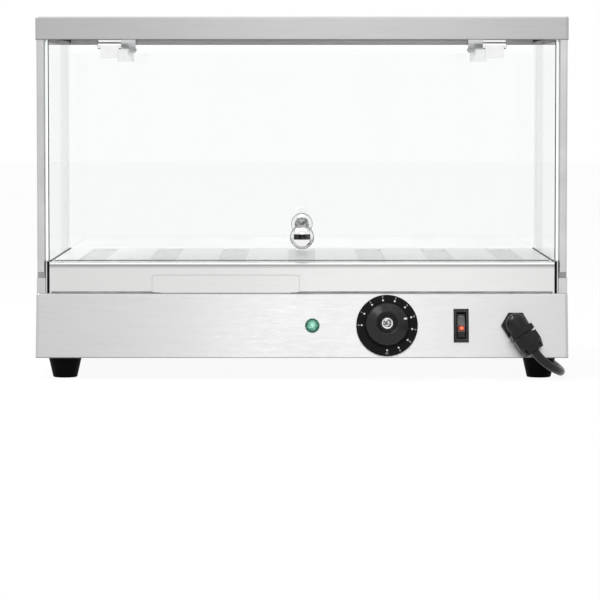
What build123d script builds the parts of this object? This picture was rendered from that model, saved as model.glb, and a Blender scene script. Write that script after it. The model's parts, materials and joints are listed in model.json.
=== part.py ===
from build123d import *
import math
import os

os.makedirs("parts", exist_ok=True)

# Heated display case: a folded steel base with the heating and the controls, a deck
# over it, a glazed chamber on four posts, and a glass flap door at the front and rear.
# The controls face -Y, +Z is up, and the origin is on the table under the middle.

# Overall sizes, in millimetres
case_width = 554.0
case_depth = 361.0
case_height = 376.0
sheet = 1.0  # folded stainless sheet
clearance = 0.3  # beside a piece that moves
running_play = 0.05  # radial play of a shaft in its bush

# Base
foot_height = 22.0
foot_top_radius = 17.5
foot_bottom_radius = 12.5
foot_inset = 29.0  # from the base's sides and from its front and rear
base_height = 66.4
panel_setback = 14.0  # of the front and rear panels' upper edges behind their lower ones
base_corner = 3.0
flange_width = 12.0

# Chamber
upper_setback = 15.0  # of the apron, posts and cover behind the base's lower edge
apron_gap = 2.0  # between the base and the apron
deck_rise = 32.4  # from the top of the base to the deck
deck_edge = 2.0
groove_count = 7
groove_pitch = 74.0
groove_width = 29.0
groove_depth = 2.0
groove_margin = 9.0  # between a groove's end and the deck's edge
rail_width = 9.6
rail_height = 16.0
rail_inset = 0.5  # of the side rails from the base's sides
seat_height = 6.2  # dark seat between a rail and its post
post_width = 8.4
post_depth = 14.0
post_corner = 2.0
post_wall = 1.4
pane_thickness = 3.0
gasket_wall = 0.8
gasket_foot = 6.0  # rubber under and over the panes
cover_height = 24.0
cover_corner = 3.0
cover_bend = 1.0  # inside radius of its upper edges
upper_rail_height = 14.0
ceiling_depth = 17.0

# Doors
door_thickness = 4.0
door_side_gap = 2.0
door_bottom_gap = 2.2
door_setback = 2.5  # of the door's outer face behind the apron
hinge_drop = 6.0  # of the pin under the cover's lower edge
hinge_spread = 400.0
pin_radius = 1.5
knuckle_radius = 3.5
ear_thickness = 2.0
clamp_width = 19.0
clamp_wall = 1.5
clamp_grip = 9.0
knob_ball_radius = 12.5
knob_height = 25.0  # of the knob's centre above the door's bottom edge
knob_reach = 27.0  # of the ball's centre from the glass
knob_neck_radius = 4.5
knob_flange_radius = 8.0
washer_radius = 8.0
washer_thickness = 1.2
door_screw_radius = 2.5

# Water drawer in the apron
drawer_width = 153.0
drawer_left = -156.0
drawer_front_height = 18.0
drawer_front_corner = 3.0
drawer_gap = 0.4
drawer_depth = 230.0
drawer_tray_width = 140.0
drawer_tray_height = 15.0
drawer_lift = 0.3  # of the tray over the base
drawer_drop = 1.2  # of its front below the apron's lower edge
guide_thickness = 1.2
guide_lip = 6.0

# Controls on the base's front
control_height = 33.1  # of their centres above the base's lower edge
lamp_x = 10.7
lamp_radius = 7.5
lamp_rim = 1.6  # thickness of the lens's edge
lamp_dome = 2.0
lamp_slope = 2.4  # width of the lens's sloping side
lamp_body_radius = 5.5
lamp_body_length = 24.0
dial_x = 88.4
dial_radius = 32.0
dial_thickness = 4.0
dial_chamfer = 0.8
knob_back_radius = 23.0
knob_grip_radius = 21.6
knob_grip = 8.0  # length of the knob's side, from its back to its cone
knob_front = 21.0  # of the knob's rim from the panel
knob_recess_radius = 11.5
knob_recess_depth = 5.0
knob_rim = 0.9
knob_cap_radius = 5.8
spindle_radius = 3.0
bush_radius = 5.0
thermostat_flange_width = 50.0
thermostat_flange_height = 24.0
thermostat_flange = 1.5
thermostat_width = 40.0
thermostat_height = 32.0
thermostat_depth = 30.0
bush_depth = 18.0  # of the spindle's bore behind the panel
blade_length = 7.0  # flat terminals of the thermostat and the switch
blade_width = 6.3
blade_thickness = 0.8
switch_x = 165.6
bezel_width = 15.8
bezel_height = 35.2
bezel_thickness = 2.4
switch_body_width = 13.0
switch_body_height = 30.0
switch_body_depth = 24.0
switch_mouth_width = 10.0
switch_mouth_height = 28.0
switch_mouth_depth = 14.0
rocker_width = 7.4
rocker_height = 25.0
pivot_depth = 4.5  # of the rocker's axle behind the panel's face
pivot_radius = 1.5

# Cable gland, an elbow whose outlet points down and outwards
gland_inset = 55.0  # of its thread's axis from the base's right side
gland_lean = 33.0  # degrees of the outlet from straight down
gland_bore = 6.0
gland_thread_radius = 10.0
gland_thread = 9.0  # behind the panel
locknut_radius = 13.5
locknut_thickness = 5.0
gland_hex_radius = 15.0
gland_hex_thickness = 5.0
elbow_radius = 10.9
elbow_reach = 15.5  # of the elbow's centre from the panel
collar_start = 8.0  # along the outlet, from the elbow's centre
collar_radius = 14.6
collar_length = 5.5
gland_nut_start = 16.0
gland_nut_length = 18.3
gland_nut_radius = 14.4
gland_tip_radius = 10.8
gland_teeth = 8
cable_radius = 4.5
cable_exit_run = 8.5

# Heating and wiring inside the base
tray_side_gap = 62.0  # between the heating tray and the base's sides
tray_front_gap = 50.5
tray_rear_gap = 34.5
tray_depth = 37.0
heater_radius = 3.25
heater_bend = 22.0
heater_rise = 16.0  # of the heating tube over the tray's floor
heater_end_gap = 15.0  # between the tube's bends and the tray's ends
heater_side_gap = 35.0  # between its outer runs and the tray's long sides
heater_end_spacing = 50.0
heater_runs = 4
slot_length = 46.0
slot_width = 8.0
foot_nut_radius = 4.0
block_width = 16.0
block_length = 48.0
block_gap = 3.0  # between the terminal block and the flange or a foot's nut
terminal_pitch = 12.0

# Cord put away behind the case
coil_radius = 62.0  # of the outermost turn
coil_pitch = 9.5
coil_half_turns = 5  # in the lower layer, the last of them climbing
tie_thickness = 1.0
tie_width = 8.0
coil_tail = 38.0
plug_radius = 19.0
plug_height = 27.0
plug_pin_radius = 2.4
plug_pin_spacing = 19.0
plug_pin_length = 19.0

# Places that follow from the sizes
half_width = case_width / 2
half_depth = case_depth / 2
upper_half_depth = half_depth - upper_setback
base_top = foot_height + base_height
deck_top = base_top + deck_rise
apron_bottom = base_top + apron_gap
cover_bottom = case_height - cover_height
rail_outer = half_width - rail_inset
rail_inner = rail_outer - rail_width
rail_top = base_top + rail_height
gasket_width = pane_thickness + 2 * gasket_wall
deck_half_width = rail_inner - gasket_width
pane_inner = deck_half_width + gasket_wall
pane_half_length = upper_half_depth - 2.5
post_bottom = rail_top + seat_height
post_outer = half_width - sheet
cover_underside = case_height - sheet
frame_top = cover_underside - cover_bend
control_z = foot_height + control_height
gland_x = half_width - gland_inset
drawer_front_bottom = apron_bottom - drawer_drop
tray_length = case_width - 2 * tray_side_gap
tray_width = case_depth - tray_front_gap - tray_rear_gap
tray_centre_y = (tray_front_gap - tray_rear_gap) / 2
base_inside_top = base_top - sheet
plate_top = foot_height + sheet
door_front = upper_half_depth - door_setback
door_back = door_front - door_thickness
hinge_y = (door_front + door_back) / 2
hinge_z = cover_bottom - hinge_drop
door_bottom = deck_top + door_bottom_gap
door_top = hinge_z - knuckle_radius - 0.5
door_half_width = pane_inner - door_side_gap
knob_z = door_bottom + knob_height
ceiling_half_depth = hinge_y - 6.0
ceiling_bottom = cover_underside - ceiling_depth
panel_lean = math.atan2(panel_setback, base_height)
panel_out = Vector(0, -math.cos(panel_lean), math.sin(panel_lean))
panel_up = Vector(0, math.sin(panel_lean), math.cos(panel_lean))
sheet_level = sheet / math.cos(panel_lean)  # the leaning sheet measured along Y


def save(piece, name):
    """Label a finished piece and write it to its own file."""
    piece.part.label = name
    export_step(piece.part, "parts/" + name + ".step")


def level(height):
    """A horizontal plane."""
    return Plane.XY.offset(height)


def wall(distance):
    """A plane parallel to the front, its X along the case and its Y upwards, facing -Y."""
    return Plane(origin=(0, -distance, 0), x_dir=(1, 0, 0), z_dir=(0, -1, 0))


def panel_face(height):
    """Distance of the front and rear panels' faces from the middle, at a height."""
    return half_depth - (height - foot_height) * panel_setback / base_height


def panel_point(x, out):
    """A point on the line of the controls, at a distance in front of the panel's face."""
    return Vector(x, -panel_face(control_z), control_z) + panel_out * out


def panel(out):
    """A plane parallel to the front panel, its X along the case, through the controls' line."""
    return Plane(origin=panel_point(0, out), x_dir=(1, 0, 0), z_dir=panel_out)


# Base housing: a folded box whose front and rear lean, open below, with an inward
# flange for the bottom plate
def leaning_block(inset):
    """A solid block in the housing's shape, its walls and top inset."""
    foot_y = half_depth - inset / math.cos(panel_lean)
    top_z = base_top - inset
    top_y = foot_y - (top_z - foot_height) * math.tan(panel_lean)
    with BuildPart() as block:
        with BuildSketch(Plane.YZ):
            with BuildLine():
                Polyline(
                    (-foot_y, foot_height),
                    (foot_y, foot_height),
                    (top_y, top_z),
                    (-top_y, top_z),
                    close=True,
                )
            make_face()
        extrude(amount=half_width - inset, both=True)
        block_edges = block.edges()
        corners = block_edges - block_edges.filter_by(Axis.X) - block_edges.filter_by(Axis.Y)
        fillet(corners, base_corner - inset)
        fillet(block.faces().sort_by(Axis.Z)[-1].edges(), base_corner - sheet - inset)
    return block.part


with BuildPart() as base_housing:
    add(leaning_block(0))
    add(leaning_block(sheet), mode=Mode.SUBTRACT)
    with BuildSketch(level(plate_top)):
        RectangleRounded(case_width - sheet, case_depth - 2 * sheet, base_corner)
        Rectangle(
            case_width - 2 * flange_width, case_depth - 2 * flange_width, mode=Mode.SUBTRACT
        )
    extrude(amount=sheet)
    # heat slots under the deck
    with BuildSketch(level(base_inside_top)):
        with Locations((30, tray_centre_y)):
            with GridLocations(slot_length + 14, 60, 7, 4):
                SlotOverall(slot_length, slot_width)
    extrude(amount=sheet, mode=Mode.SUBTRACT)
    # holes for the controls
    with BuildSketch(panel(-2 * sheet)):
        with Locations((lamp_x, 0)):
            Circle(lamp_body_radius)
        with Locations((dial_x, 0)):
            Circle(bush_radius)
        with Locations((switch_x, 0)):
            Rectangle(switch_body_width, switch_body_height)
        with Locations((gland_x, 0)):
            Circle(gland_thread_radius)
    extrude(amount=3 * sheet, mode=Mode.SUBTRACT)
save(base_housing, "base_housing")

foot_places = [
    (sx * (half_width - foot_inset), sy * (half_depth - foot_inset))
    for sx in (-1, 1)
    for sy in (-1, 1)
]
foot_bore = 2.25
foot_recess = 5.5
foot_recess_depth = 11.0
vent_length = 30.0
vent_width = 4.0
plate_screws = [
    (sx * (half_width - flange_width / 2 - 1), sy * (half_depth - 40.0))
    for sx in (-1, 1)
    for sy in (-1, 0, 1)
]

# Bottom plate, flush in the housing's lower edge
with BuildPart() as bottom_plate:
    with BuildSketch(level(foot_height)):
        RectangleRounded(
            case_width - 2 * sheet - 2 * clearance,
            2 * (panel_face(plate_top) - sheet_level - clearance),
            base_corner,
        )
        with Locations(*foot_places):
            Circle(foot_bore, mode=Mode.SUBTRACT)
        with Locations(*plate_screws):
            Circle(1.6, mode=Mode.SUBTRACT)
        with Locations((0, -half_depth + 38)):
            with GridLocations(vent_length + 12, 10, 5, 2):
                SlotOverall(vent_length, vent_width, mode=Mode.SUBTRACT)
    extrude(amount=sheet)
save(bottom_plate, "bottom_plate")

# Screws of the bottom plate, up into the flange
with BuildPart() as plate_screw_set:
    with BuildSketch(level(plate_top - sheet - 1.4)):
        with Locations(*plate_screws):
            Circle(3.2)
    extrude(amount=1.4)
    with BuildSketch(level(foot_height)):
        with Locations(*plate_screws):
            Circle(1.6)
    extrude(amount=sheet)
save(plate_screw_set, "bottom_screws")

# Rubber feet, with their screws' recess open below
with BuildPart() as feet:
    with Locations(*[(x, y, 0) for x, y in foot_places]):
        Cone(
            foot_bottom_radius,
            foot_top_radius,
            foot_height,
            align=(Align.CENTER, Align.CENTER, Align.MIN),
        )
    fillet(feet.faces().filter_by(Axis.Z).group_by(Axis.Z)[0].edges(), 1.6)
    with BuildSketch(level(0)):
        with Locations(*foot_places):
            Circle(foot_recess)
    extrude(amount=foot_recess_depth, mode=Mode.SUBTRACT)
    with BuildSketch(level(foot_recess_depth)):
        with Locations(*foot_places):
            Circle(foot_bore)
    extrude(amount=foot_height - foot_recess_depth, mode=Mode.SUBTRACT)
save(feet, "feet")

with BuildPart() as foot_screws:
    with BuildSketch(level(foot_recess_depth - 3)):
        with Locations(*foot_places):
            Circle(4)
    extrude(amount=3)
    with BuildSketch(level(foot_recess_depth)):
        with Locations(*foot_places):
            Circle(2)
    extrude(amount=plate_top + 6 - foot_recess_depth)
    with BuildSketch(level(plate_top)):
        with Locations(*foot_places):
            RegularPolygon(foot_nut_radius, 6)
    extrude(amount=3.2)
save(foot_screws, "foot_screws")

# Side frames: a lower rail, two posts on dark seats, and an upper rail in the cover
with BuildPart() as side_rails:
    for side in (-1, 1):
        with BuildSketch(level(base_top)):
            with Locations((side * (rail_outer - rail_width / 2), 0)):
                Rectangle(rail_width, 2 * upper_half_depth)
        extrude(amount=rail_height)
    front_ends = side_rails.edges().filter_by(Axis.Z)
    fillet(front_ends, 1.2)
save(side_rails, "side_rails")

post_x = post_outer - post_width / 2
post_y = upper_half_depth - sheet - post_depth / 2
post_places = [(sx * post_x, sy * post_y) for sx in (-1, 1) for sy in (-1, 1)]

with BuildPart() as post_seats:
    with BuildSketch(level(rail_top)):
        with Locations(*post_places):
            Rectangle(post_width - 0.6, post_depth - 0.6)
    extrude(amount=seat_height)
save(post_seats, "post_seats")

with BuildPart() as corner_posts:
    with BuildSketch(level(post_bottom)):
        with Locations(*post_places):
            RectangleRounded(post_width, post_depth, post_corner)
            RectangleRounded(
                post_width - 2 * post_wall, post_depth - 2 * post_wall, 0.6, mode=Mode.SUBTRACT
            )
    extrude(amount=frame_top - post_bottom)
save(corner_posts, "corner_posts")

upper_rail_half = post_y - post_depth / 2
with BuildPart() as upper_rails:
    with BuildSketch(level(frame_top - upper_rail_height)):
        for side in (-1, 1):
            with Locations((side * (post_outer + rail_inner) / 2, 0)):
                Rectangle(post_outer - rail_inner, 2 * upper_rail_half)
    extrude(amount=upper_rail_height)
save(upper_rails, "upper_rails")

# Panes in U-shaped gaskets, below beside the deck and above inside the cover
pane_bottom = base_top + gasket_foot
pane_top = cover_underside - gasket_foot
gasket_x = deck_half_width + gasket_width / 2
gasket_top = deck_top + 0.9
upper_gasket_bottom = cover_bottom + 3.0

with BuildPart() as lower_gaskets:
    with BuildSketch(level(base_top)):
        for side in (-1, 1):
            with Locations((side * gasket_x, 0)):
                Rectangle(gasket_width, 2 * upper_half_depth - 0.4)
    extrude(amount=gasket_top - base_top)
    with BuildSketch(level(pane_bottom)):
        for side in (-1, 1):
            with Locations((side * gasket_x, 0)):
                Rectangle(pane_thickness, 2 * pane_half_length)
    extrude(amount=gasket_top - pane_bottom, mode=Mode.SUBTRACT)
save(lower_gaskets, "lower_gaskets")

with BuildPart() as upper_gaskets:
    with BuildSketch(level(upper_gasket_bottom)):
        for side in (-1, 1):
            with Locations((side * gasket_x, 0)):
                Rectangle(gasket_width, 2 * (upper_half_depth - sheet - cover_bend) - 0.4)
                Rectangle(pane_thickness, 2 * pane_half_length, mode=Mode.SUBTRACT)
    extrude(amount=cover_underside - upper_gasket_bottom)
    with BuildSketch(level(pane_top)):
        for side in (-1, 1):
            with Locations((side * gasket_x, 0)):
                Rectangle(pane_thickness, 2 * pane_half_length)
    extrude(amount=cover_underside - pane_top)
save(upper_gaskets, "upper_gaskets")

for side, name in ((-1, "side_pane_left"), (1, "side_pane_right")):
    with BuildPart() as side_pane:
        with BuildSketch(level(pane_bottom)):
            with Locations((side * gasket_x, 0)):
                Rectangle(pane_thickness, 2 * pane_half_length)
        extrude(amount=pane_top - pane_bottom)
    save(side_pane, name)

# Top cover: a folded lid, open below, with screws down into the posts
with BuildPart() as top_cover:
    with BuildSketch(level(cover_bottom)):
        Rectangle(case_width, 2 * upper_half_depth)
    extrude(amount=cover_height)
    fillet(top_cover.edges().filter_by(Axis.Z), cover_corner)
    fillet(top_cover.faces().sort_by(Axis.Z)[-1].edges(), cover_bend + sheet)
    lower_side = top_cover.faces().sort_by(Axis.Z)[0]
    offset(amount=-sheet, openings=lower_side)
save(top_cover, "top_cover")

# Ceiling of the chamber: a pan whose rim meets the cover's underside
with BuildPart() as ceiling_panel:
    with BuildSketch(level(ceiling_bottom)):
        Rectangle(2 * deck_half_width, 2 * ceiling_half_depth)
    extrude(amount=ceiling_depth)
    upper_side = ceiling_panel.faces().sort_by(Axis.Z)[-1]
    offset(amount=-sheet, openings=upper_side)
save(ceiling_panel, "ceiling_panel")

# Deck: a folded sheet with pressed grooves and aprons front and rear
with BuildPart() as deck_plate:
    with BuildSketch(level(base_top)):
        Rectangle(2 * deck_half_width, 2 * upper_half_depth)
    extrude(amount=deck_rise)
    fillet(
        deck_plate.faces().sort_by(Axis.Z)[-1].edges().filter_by(Axis.X), deck_edge
    )
    deck_underside = deck_plate.faces().sort_by(Axis.Z)[0]
    offset(amount=-sheet, openings=deck_underside)
    groove_length = 2 * (upper_half_depth - deck_edge - groove_margin)
    with BuildSketch(level(deck_top - groove_depth - sheet)):
        with GridLocations(groove_pitch, 0, groove_count, 1):
            Rectangle(groove_width + 2 * sheet, groove_length + 2 * sheet)
    extrude(amount=groove_depth)
    with BuildSketch(level(deck_top - groove_depth)):
        with GridLocations(groove_pitch, 0, groove_count, 1):
            Rectangle(groove_width, groove_length)
    extrude(amount=groove_depth, mode=Mode.SUBTRACT)
    # the aprons stop short of the base; the side walls stand on it
    with BuildSketch(level(base_top)):
        Rectangle(2 * deck_half_width - 2 * sheet, 2 * upper_half_depth)
    extrude(amount=apron_gap, mode=Mode.SUBTRACT)
    # drawer mouth, open at the apron's lower edge
    drawer_x = drawer_left + drawer_width / 2
    mouth_bottom = base_top - 2 * (drawer_front_corner + drawer_gap)
    mouth_top = drawer_front_bottom + drawer_front_height + drawer_gap
    with BuildSketch(wall(upper_half_depth - sheet)):
        with Locations((drawer_x, (mouth_bottom + mouth_top) / 2)):
            RectangleRounded(
                drawer_width + 2 * drawer_gap,
                mouth_top - mouth_bottom,
                drawer_front_corner + drawer_gap,
            )
    extrude(amount=sheet, mode=Mode.SUBTRACT)
save(deck_plate, "deck_plate")

# Water drawer: a tray on the base, between two guides, with a plate in the apron
tray_floor = base_top + drawer_lift
tray_front_y = -(upper_half_depth - sheet)
tray_centre = tray_front_y + drawer_depth / 2

with BuildPart() as drawer_front:
    with BuildSketch(wall(upper_half_depth - sheet)):
        with Locations((drawer_x, drawer_front_bottom + drawer_front_height / 2)):
            RectangleRounded(drawer_width, drawer_front_height, drawer_front_corner)
    extrude(amount=sheet)
save(drawer_front, "drawer_front")

with BuildPart() as drawer_tray:
    with BuildSketch(level(tray_floor)):
        with Locations((drawer_x, tray_centre)):
            RectangleRounded(drawer_tray_width, drawer_depth, 4)
    extrude(amount=drawer_tray_height)
    tray_mouth = drawer_tray.faces().sort_by(Axis.Z)[-1]
    offset(amount=-sheet, openings=tray_mouth)
save(drawer_tray, "drawer_tray")

with BuildPart() as drawer_guides:
    for side in (-1, 1):
        guide_x = drawer_x + side * (drawer_tray_width / 2 + clearance + guide_thickness / 2)
        with BuildSketch(level(base_top)):
            with Locations((guide_x, tray_centre + 4)):
                Rectangle(guide_thickness, drawer_depth - 4)
        extrude(amount=drawer_lift + drawer_tray_height + clearance + guide_thickness)
        lip_x = guide_x - side * guide_lip / 2
        with BuildSketch(level(base_top + drawer_lift + drawer_tray_height + clearance)):
            with Locations((lip_x, tray_centre + 4)):
                Rectangle(guide_lip, drawer_depth - 4)
        extrude(amount=guide_thickness)
save(drawer_guides, "drawer_guides")

# Doors: a pane, a ball knob with its screw, and two clamps on fixed hinge brackets
hinge_places = (-hinge_spread / 2, hinge_spread / 2)
bracket_plate = 1.5
bracket_back = ceiling_half_depth + bracket_plate
ear_x = clamp_width / 2 + clearance + ear_thickness / 2
bracket_width = 2 * ear_x + ear_thickness
bracket_top = ceiling_bottom + 14.0

with BuildPart() as hinge_brackets:
    for hinge_x in hinge_places:
        with BuildSketch(wall(ceiling_half_depth)):
            with Locations((hinge_x, (hinge_z - knuckle_radius + bracket_top) / 2)):
                Rectangle(bracket_width, bracket_top - hinge_z + knuckle_radius)
        extrude(amount=bracket_plate)
        for side in (-1, 1):
            ear_plane = Plane(
                origin=(hinge_x + side * ear_x - ear_thickness / 2, 0, 0),
                x_dir=(0, -1, 0),
                z_dir=(1, 0, 0),
            )
            with BuildSketch(ear_plane):
                with Locations((hinge_y, -hinge_z)):
                    Circle(knuckle_radius)
                with Locations(((hinge_y + bracket_back) / 2, -hinge_z)):
                    Rectangle(hinge_y - bracket_back, 2 * knuckle_radius)
                with Locations((hinge_y, -hinge_z)):
                    Circle(pin_radius, mode=Mode.SUBTRACT)
            extrude(amount=ear_thickness)
    mirror(about=Plane.XZ)
save(hinge_brackets, "hinge_brackets")

with BuildPart() as hinge_pins:
    for hinge_x in hinge_places:
        pin_plane = Plane(
            origin=(hinge_x - bracket_width / 2 - 0.8, 0, 0), x_dir=(0, -1, 0), z_dir=(1, 0, 0)
        )
        with BuildSketch(pin_plane):
            with Locations((hinge_y, -hinge_z)):
                Circle(pin_radius)
        extrude(amount=bracket_width + 1.6)
    mirror(about=Plane.XZ)
save(hinge_pins, "hinge_pins")

clamp_half = door_thickness / 2 + clamp_wall
for door in ("front", "rear"):
    with BuildPart() as hinge_clamps:
        for hinge_x in hinge_places:
            clamp_plane = Plane(
                origin=(hinge_x - clamp_width / 2, 0, 0), x_dir=(0, -1, 0), z_dir=(1, 0, 0)
            )
            with BuildSketch(clamp_plane):
                with Locations((hinge_y, -hinge_z)):
                    Circle(knuckle_radius)
                body_bottom = door_top - clamp_grip
                with Locations((hinge_y, -(body_bottom + hinge_z) / 2)):
                    Rectangle(2 * clamp_half, hinge_z - body_bottom)
                with Locations((hinge_y, -(body_bottom + door_top) / 2)):
                    Rectangle(door_thickness, clamp_grip, mode=Mode.SUBTRACT)
                with Locations((hinge_y, -hinge_z)):
                    Circle(pin_radius + running_play, mode=Mode.SUBTRACT)
            extrude(amount=clamp_width)
        if door == "rear":
            mirror(about=Plane.XZ, mode=Mode.REPLACE)
    save(hinge_clamps, door + "_hinge_clamps")

    with BuildPart() as door_glass:
        with BuildSketch(wall(door_back)):
            with Locations((0, (door_bottom + door_top) / 2)):
                RectangleRounded(2 * door_half_width, door_top - door_bottom, 3)
            with Locations((0, knob_z)):
                Circle(door_screw_radius, mode=Mode.SUBTRACT)
        extrude(amount=door_thickness)
        if door == "rear":
            mirror(about=Plane.XZ, mode=Mode.REPLACE)
    save(door_glass, door + "_door_glass")

    # Knob: a flange on the glass, a waisted neck and a ball
    knob_axis = Plane(origin=(0, -door_front, knob_z), x_dir=(1, 0, 0), z_dir=(0, 0, 1))
    with BuildPart() as door_knob:
        with BuildSketch(knob_axis):
            with BuildLine():
                neck_end = knob_reach - math.sqrt(knob_ball_radius**2 - knob_neck_radius**2)
                Polyline(
                    (0, 0),
                    (knob_flange_radius, 0),
                    (knob_flange_radius, -1.6),
                    (knob_neck_radius + 1, -3.2),
                    (knob_neck_radius, -neck_end),
                )
                ThreePointArc(
                    (knob_neck_radius, -neck_end),
                    (knob_ball_radius, -knob_reach),
                    (0, -knob_reach - knob_ball_radius),
                )
                Line((0, -knob_reach - knob_ball_radius), (0, 0))
            make_face()
        revolve(axis=Axis((0, 0, knob_z), (0, 1, 0)))
        with BuildSketch(wall(door_front)):
            with Locations((0, knob_z)):
                Circle(door_screw_radius)
        extrude(amount=12, mode=Mode.SUBTRACT)
        if door == "rear":
            mirror(about=Plane.XZ, mode=Mode.REPLACE)
    save(door_knob, door + "_knob")

    # Screw and washer behind the glass
    with BuildPart() as knob_screw:
        with BuildSketch(wall(door_back - washer_thickness)):
            with Locations((0, knob_z)):
                Circle(washer_radius)
        extrude(amount=washer_thickness)
        with BuildSketch(wall(door_back - washer_thickness - 2.4)):
            with Locations((0, knob_z)):
                Circle(4.6)
        extrude(amount=2.4)
        with BuildSketch(wall(door_back)):
            with Locations((0, knob_z)):
                Circle(door_screw_radius)
        extrude(amount=door_thickness + 12)
        if door == "rear":
            mirror(about=Plane.XZ, mode=Mode.REPLACE)
    save(knob_screw, door + "_knob_screw")

# Pilot lamp: a faceted lens on a body through the panel
with BuildPart() as pilot_lens:
    with BuildSketch(panel(0)):
        with Locations((lamp_x, 0)):
            Circle(lamp_radius)
    extrude(amount=lamp_rim)
    with BuildSketch(panel(lamp_rim)):
        with Locations((lamp_x, 0)):
            Circle(lamp_radius - lamp_slope / 2)
    with BuildSketch(panel(lamp_rim + lamp_dome)):
        with Locations((lamp_x, 0)):
            Circle(lamp_radius - 1.5 * lamp_slope)
    loft()
save(pilot_lens, "pilot_lens")

with BuildPart() as pilot_body:
    with BuildSketch(panel(-lamp_body_length)):
        with Locations((lamp_x, 0)):
            Circle(lamp_body_radius)
    extrude(amount=lamp_body_length)
    with BuildSketch(panel(-sheet - 2)):
        with Locations((lamp_x, 0)):
            Circle(lamp_radius)
    extrude(amount=2)
save(pilot_body, "pilot_body")

# Thermostat: body on the panel's back, spindle, scale ring, turning knob and cap
with BuildPart() as thermostat_body:
    with BuildSketch(panel(-sheet - thermostat_flange)):
        with Locations((dial_x, 0)):
            Rectangle(thermostat_flange_width, thermostat_flange_height)
    extrude(amount=thermostat_flange)
    with BuildSketch(panel(-sheet - thermostat_depth)):
        with Locations((dial_x, 0)):
            RectangleRounded(thermostat_width, thermostat_height, 3)
    extrude(amount=thermostat_depth - thermostat_flange)
    with BuildSketch(panel(-sheet)):
        with Locations((dial_x, 0)):
            Circle(bush_radius)
    extrude(amount=sheet + dial_thickness - 1)
    with BuildSketch(panel(-sheet - bush_depth)):
        with Locations((dial_x, 0)):
            Circle(spindle_radius + running_play)
    extrude(amount=bush_depth + sheet + dial_thickness, mode=Mode.SUBTRACT)
    with BuildSketch(panel(-sheet - thermostat_depth - blade_length)):
        with Locations((dial_x, 0)):
            with GridLocations(13, 14, 3, 2):
                Rectangle(blade_thickness, blade_width)
    extrude(amount=blade_length)
save(thermostat_body, "thermostat_body")

outward = Axis((0, 0, 0), panel_out)
with BuildPart() as dial_plate:
    with BuildSketch(panel(0)):
        with Locations((dial_x, 0)):
            Circle(dial_radius)
            Circle(bush_radius, mode=Mode.SUBTRACT)
    extrude(amount=dial_thickness)
    rim = dial_plate.faces().sort_by(outward)[-1].edges().sort_by(SortBy.LENGTH)[-1]
    chamfer(rim, dial_chamfer)
save(dial_plate, "dial_plate")

knob_back = dial_thickness + clearance
knob_axis_line = Axis(panel_point(dial_x, 0), panel_out)
knob_section = Plane(origin=panel_point(dial_x, 0), x_dir=(1, 0, 0), z_dir=-panel_up)
cap_seat = knob_front - knob_recess_depth
with BuildPart() as thermostat_knob:
    with BuildSketch(knob_section):
        with BuildLine():
            Polyline(
                (spindle_radius, knob_back),
                (knob_back_radius, knob_back),
                (knob_grip_radius, knob_back + knob_grip),
                (knob_recess_radius + knob_rim, knob_front),
                (knob_recess_radius, knob_front),
                (knob_cap_radius + 1.4, cap_seat),
                (spindle_radius, cap_seat),
                close=True,
            )
        make_face()
    revolve(axis=knob_axis_line)
save(thermostat_knob, "thermostat_knob")

spindle_depth = bush_depth - 0.5
with BuildPart() as thermostat_spindle:
    with BuildSketch(panel(-sheet - spindle_depth)):
        with Locations((dial_x, 0)):
            Circle(spindle_radius)
    extrude(amount=cap_seat + sheet + spindle_depth)
save(thermostat_spindle, "thermostat_spindle")

cap_thickness = 2.2
with BuildPart() as knob_cap:
    with BuildSketch(panel(cap_seat)):
        with Locations((dial_x, 0)):
            Circle(knob_cap_radius)
    extrude(amount=cap_thickness)
    fillet(knob_cap.faces().sort_by(outward)[-1].edges(), 0.8)
    with BuildSketch(panel(cap_seat + cap_thickness - 0.6)):
        with Locations((dial_x, 0)):
            Circle(knob_cap_radius - 1.6)
    extrude(amount=cap_thickness, mode=Mode.SUBTRACT)
save(knob_cap, "knob_cap")

# Capillary and sensing bulb of the thermostat, in the heating tray
bulb_x = dial_x + 12
bulb_z = base_inside_top - 5.5
bulb_start = -100.0
bulb_length = 80.0
with BuildPart() as sensor_bulb:
    with BuildSketch(Plane(origin=(bulb_x, bulb_start, bulb_z), z_dir=(0, 1, 0))):
        Circle(3)
    extrude(amount=bulb_length)
save(sensor_bulb, "sensor_bulb")

capillary_start = panel_point(bulb_x, -sheet - thermostat_depth / 2)
capillary_start += panel_up * (thermostat_height / 2 + clearance)
with BuildPart() as sensor_capillary:
    with BuildLine() as capillary_line:
        FilletPolyline(
            capillary_start,
            (bulb_x, capillary_start.Y, bulb_z),
            (bulb_x, bulb_start, bulb_z),
            radius=6,
        )
    with BuildSketch(Plane(origin=capillary_start, z_dir=(0, 0, 1))):
        Circle(1)
    sweep()
save(sensor_capillary, "sensor_capillary")

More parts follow.
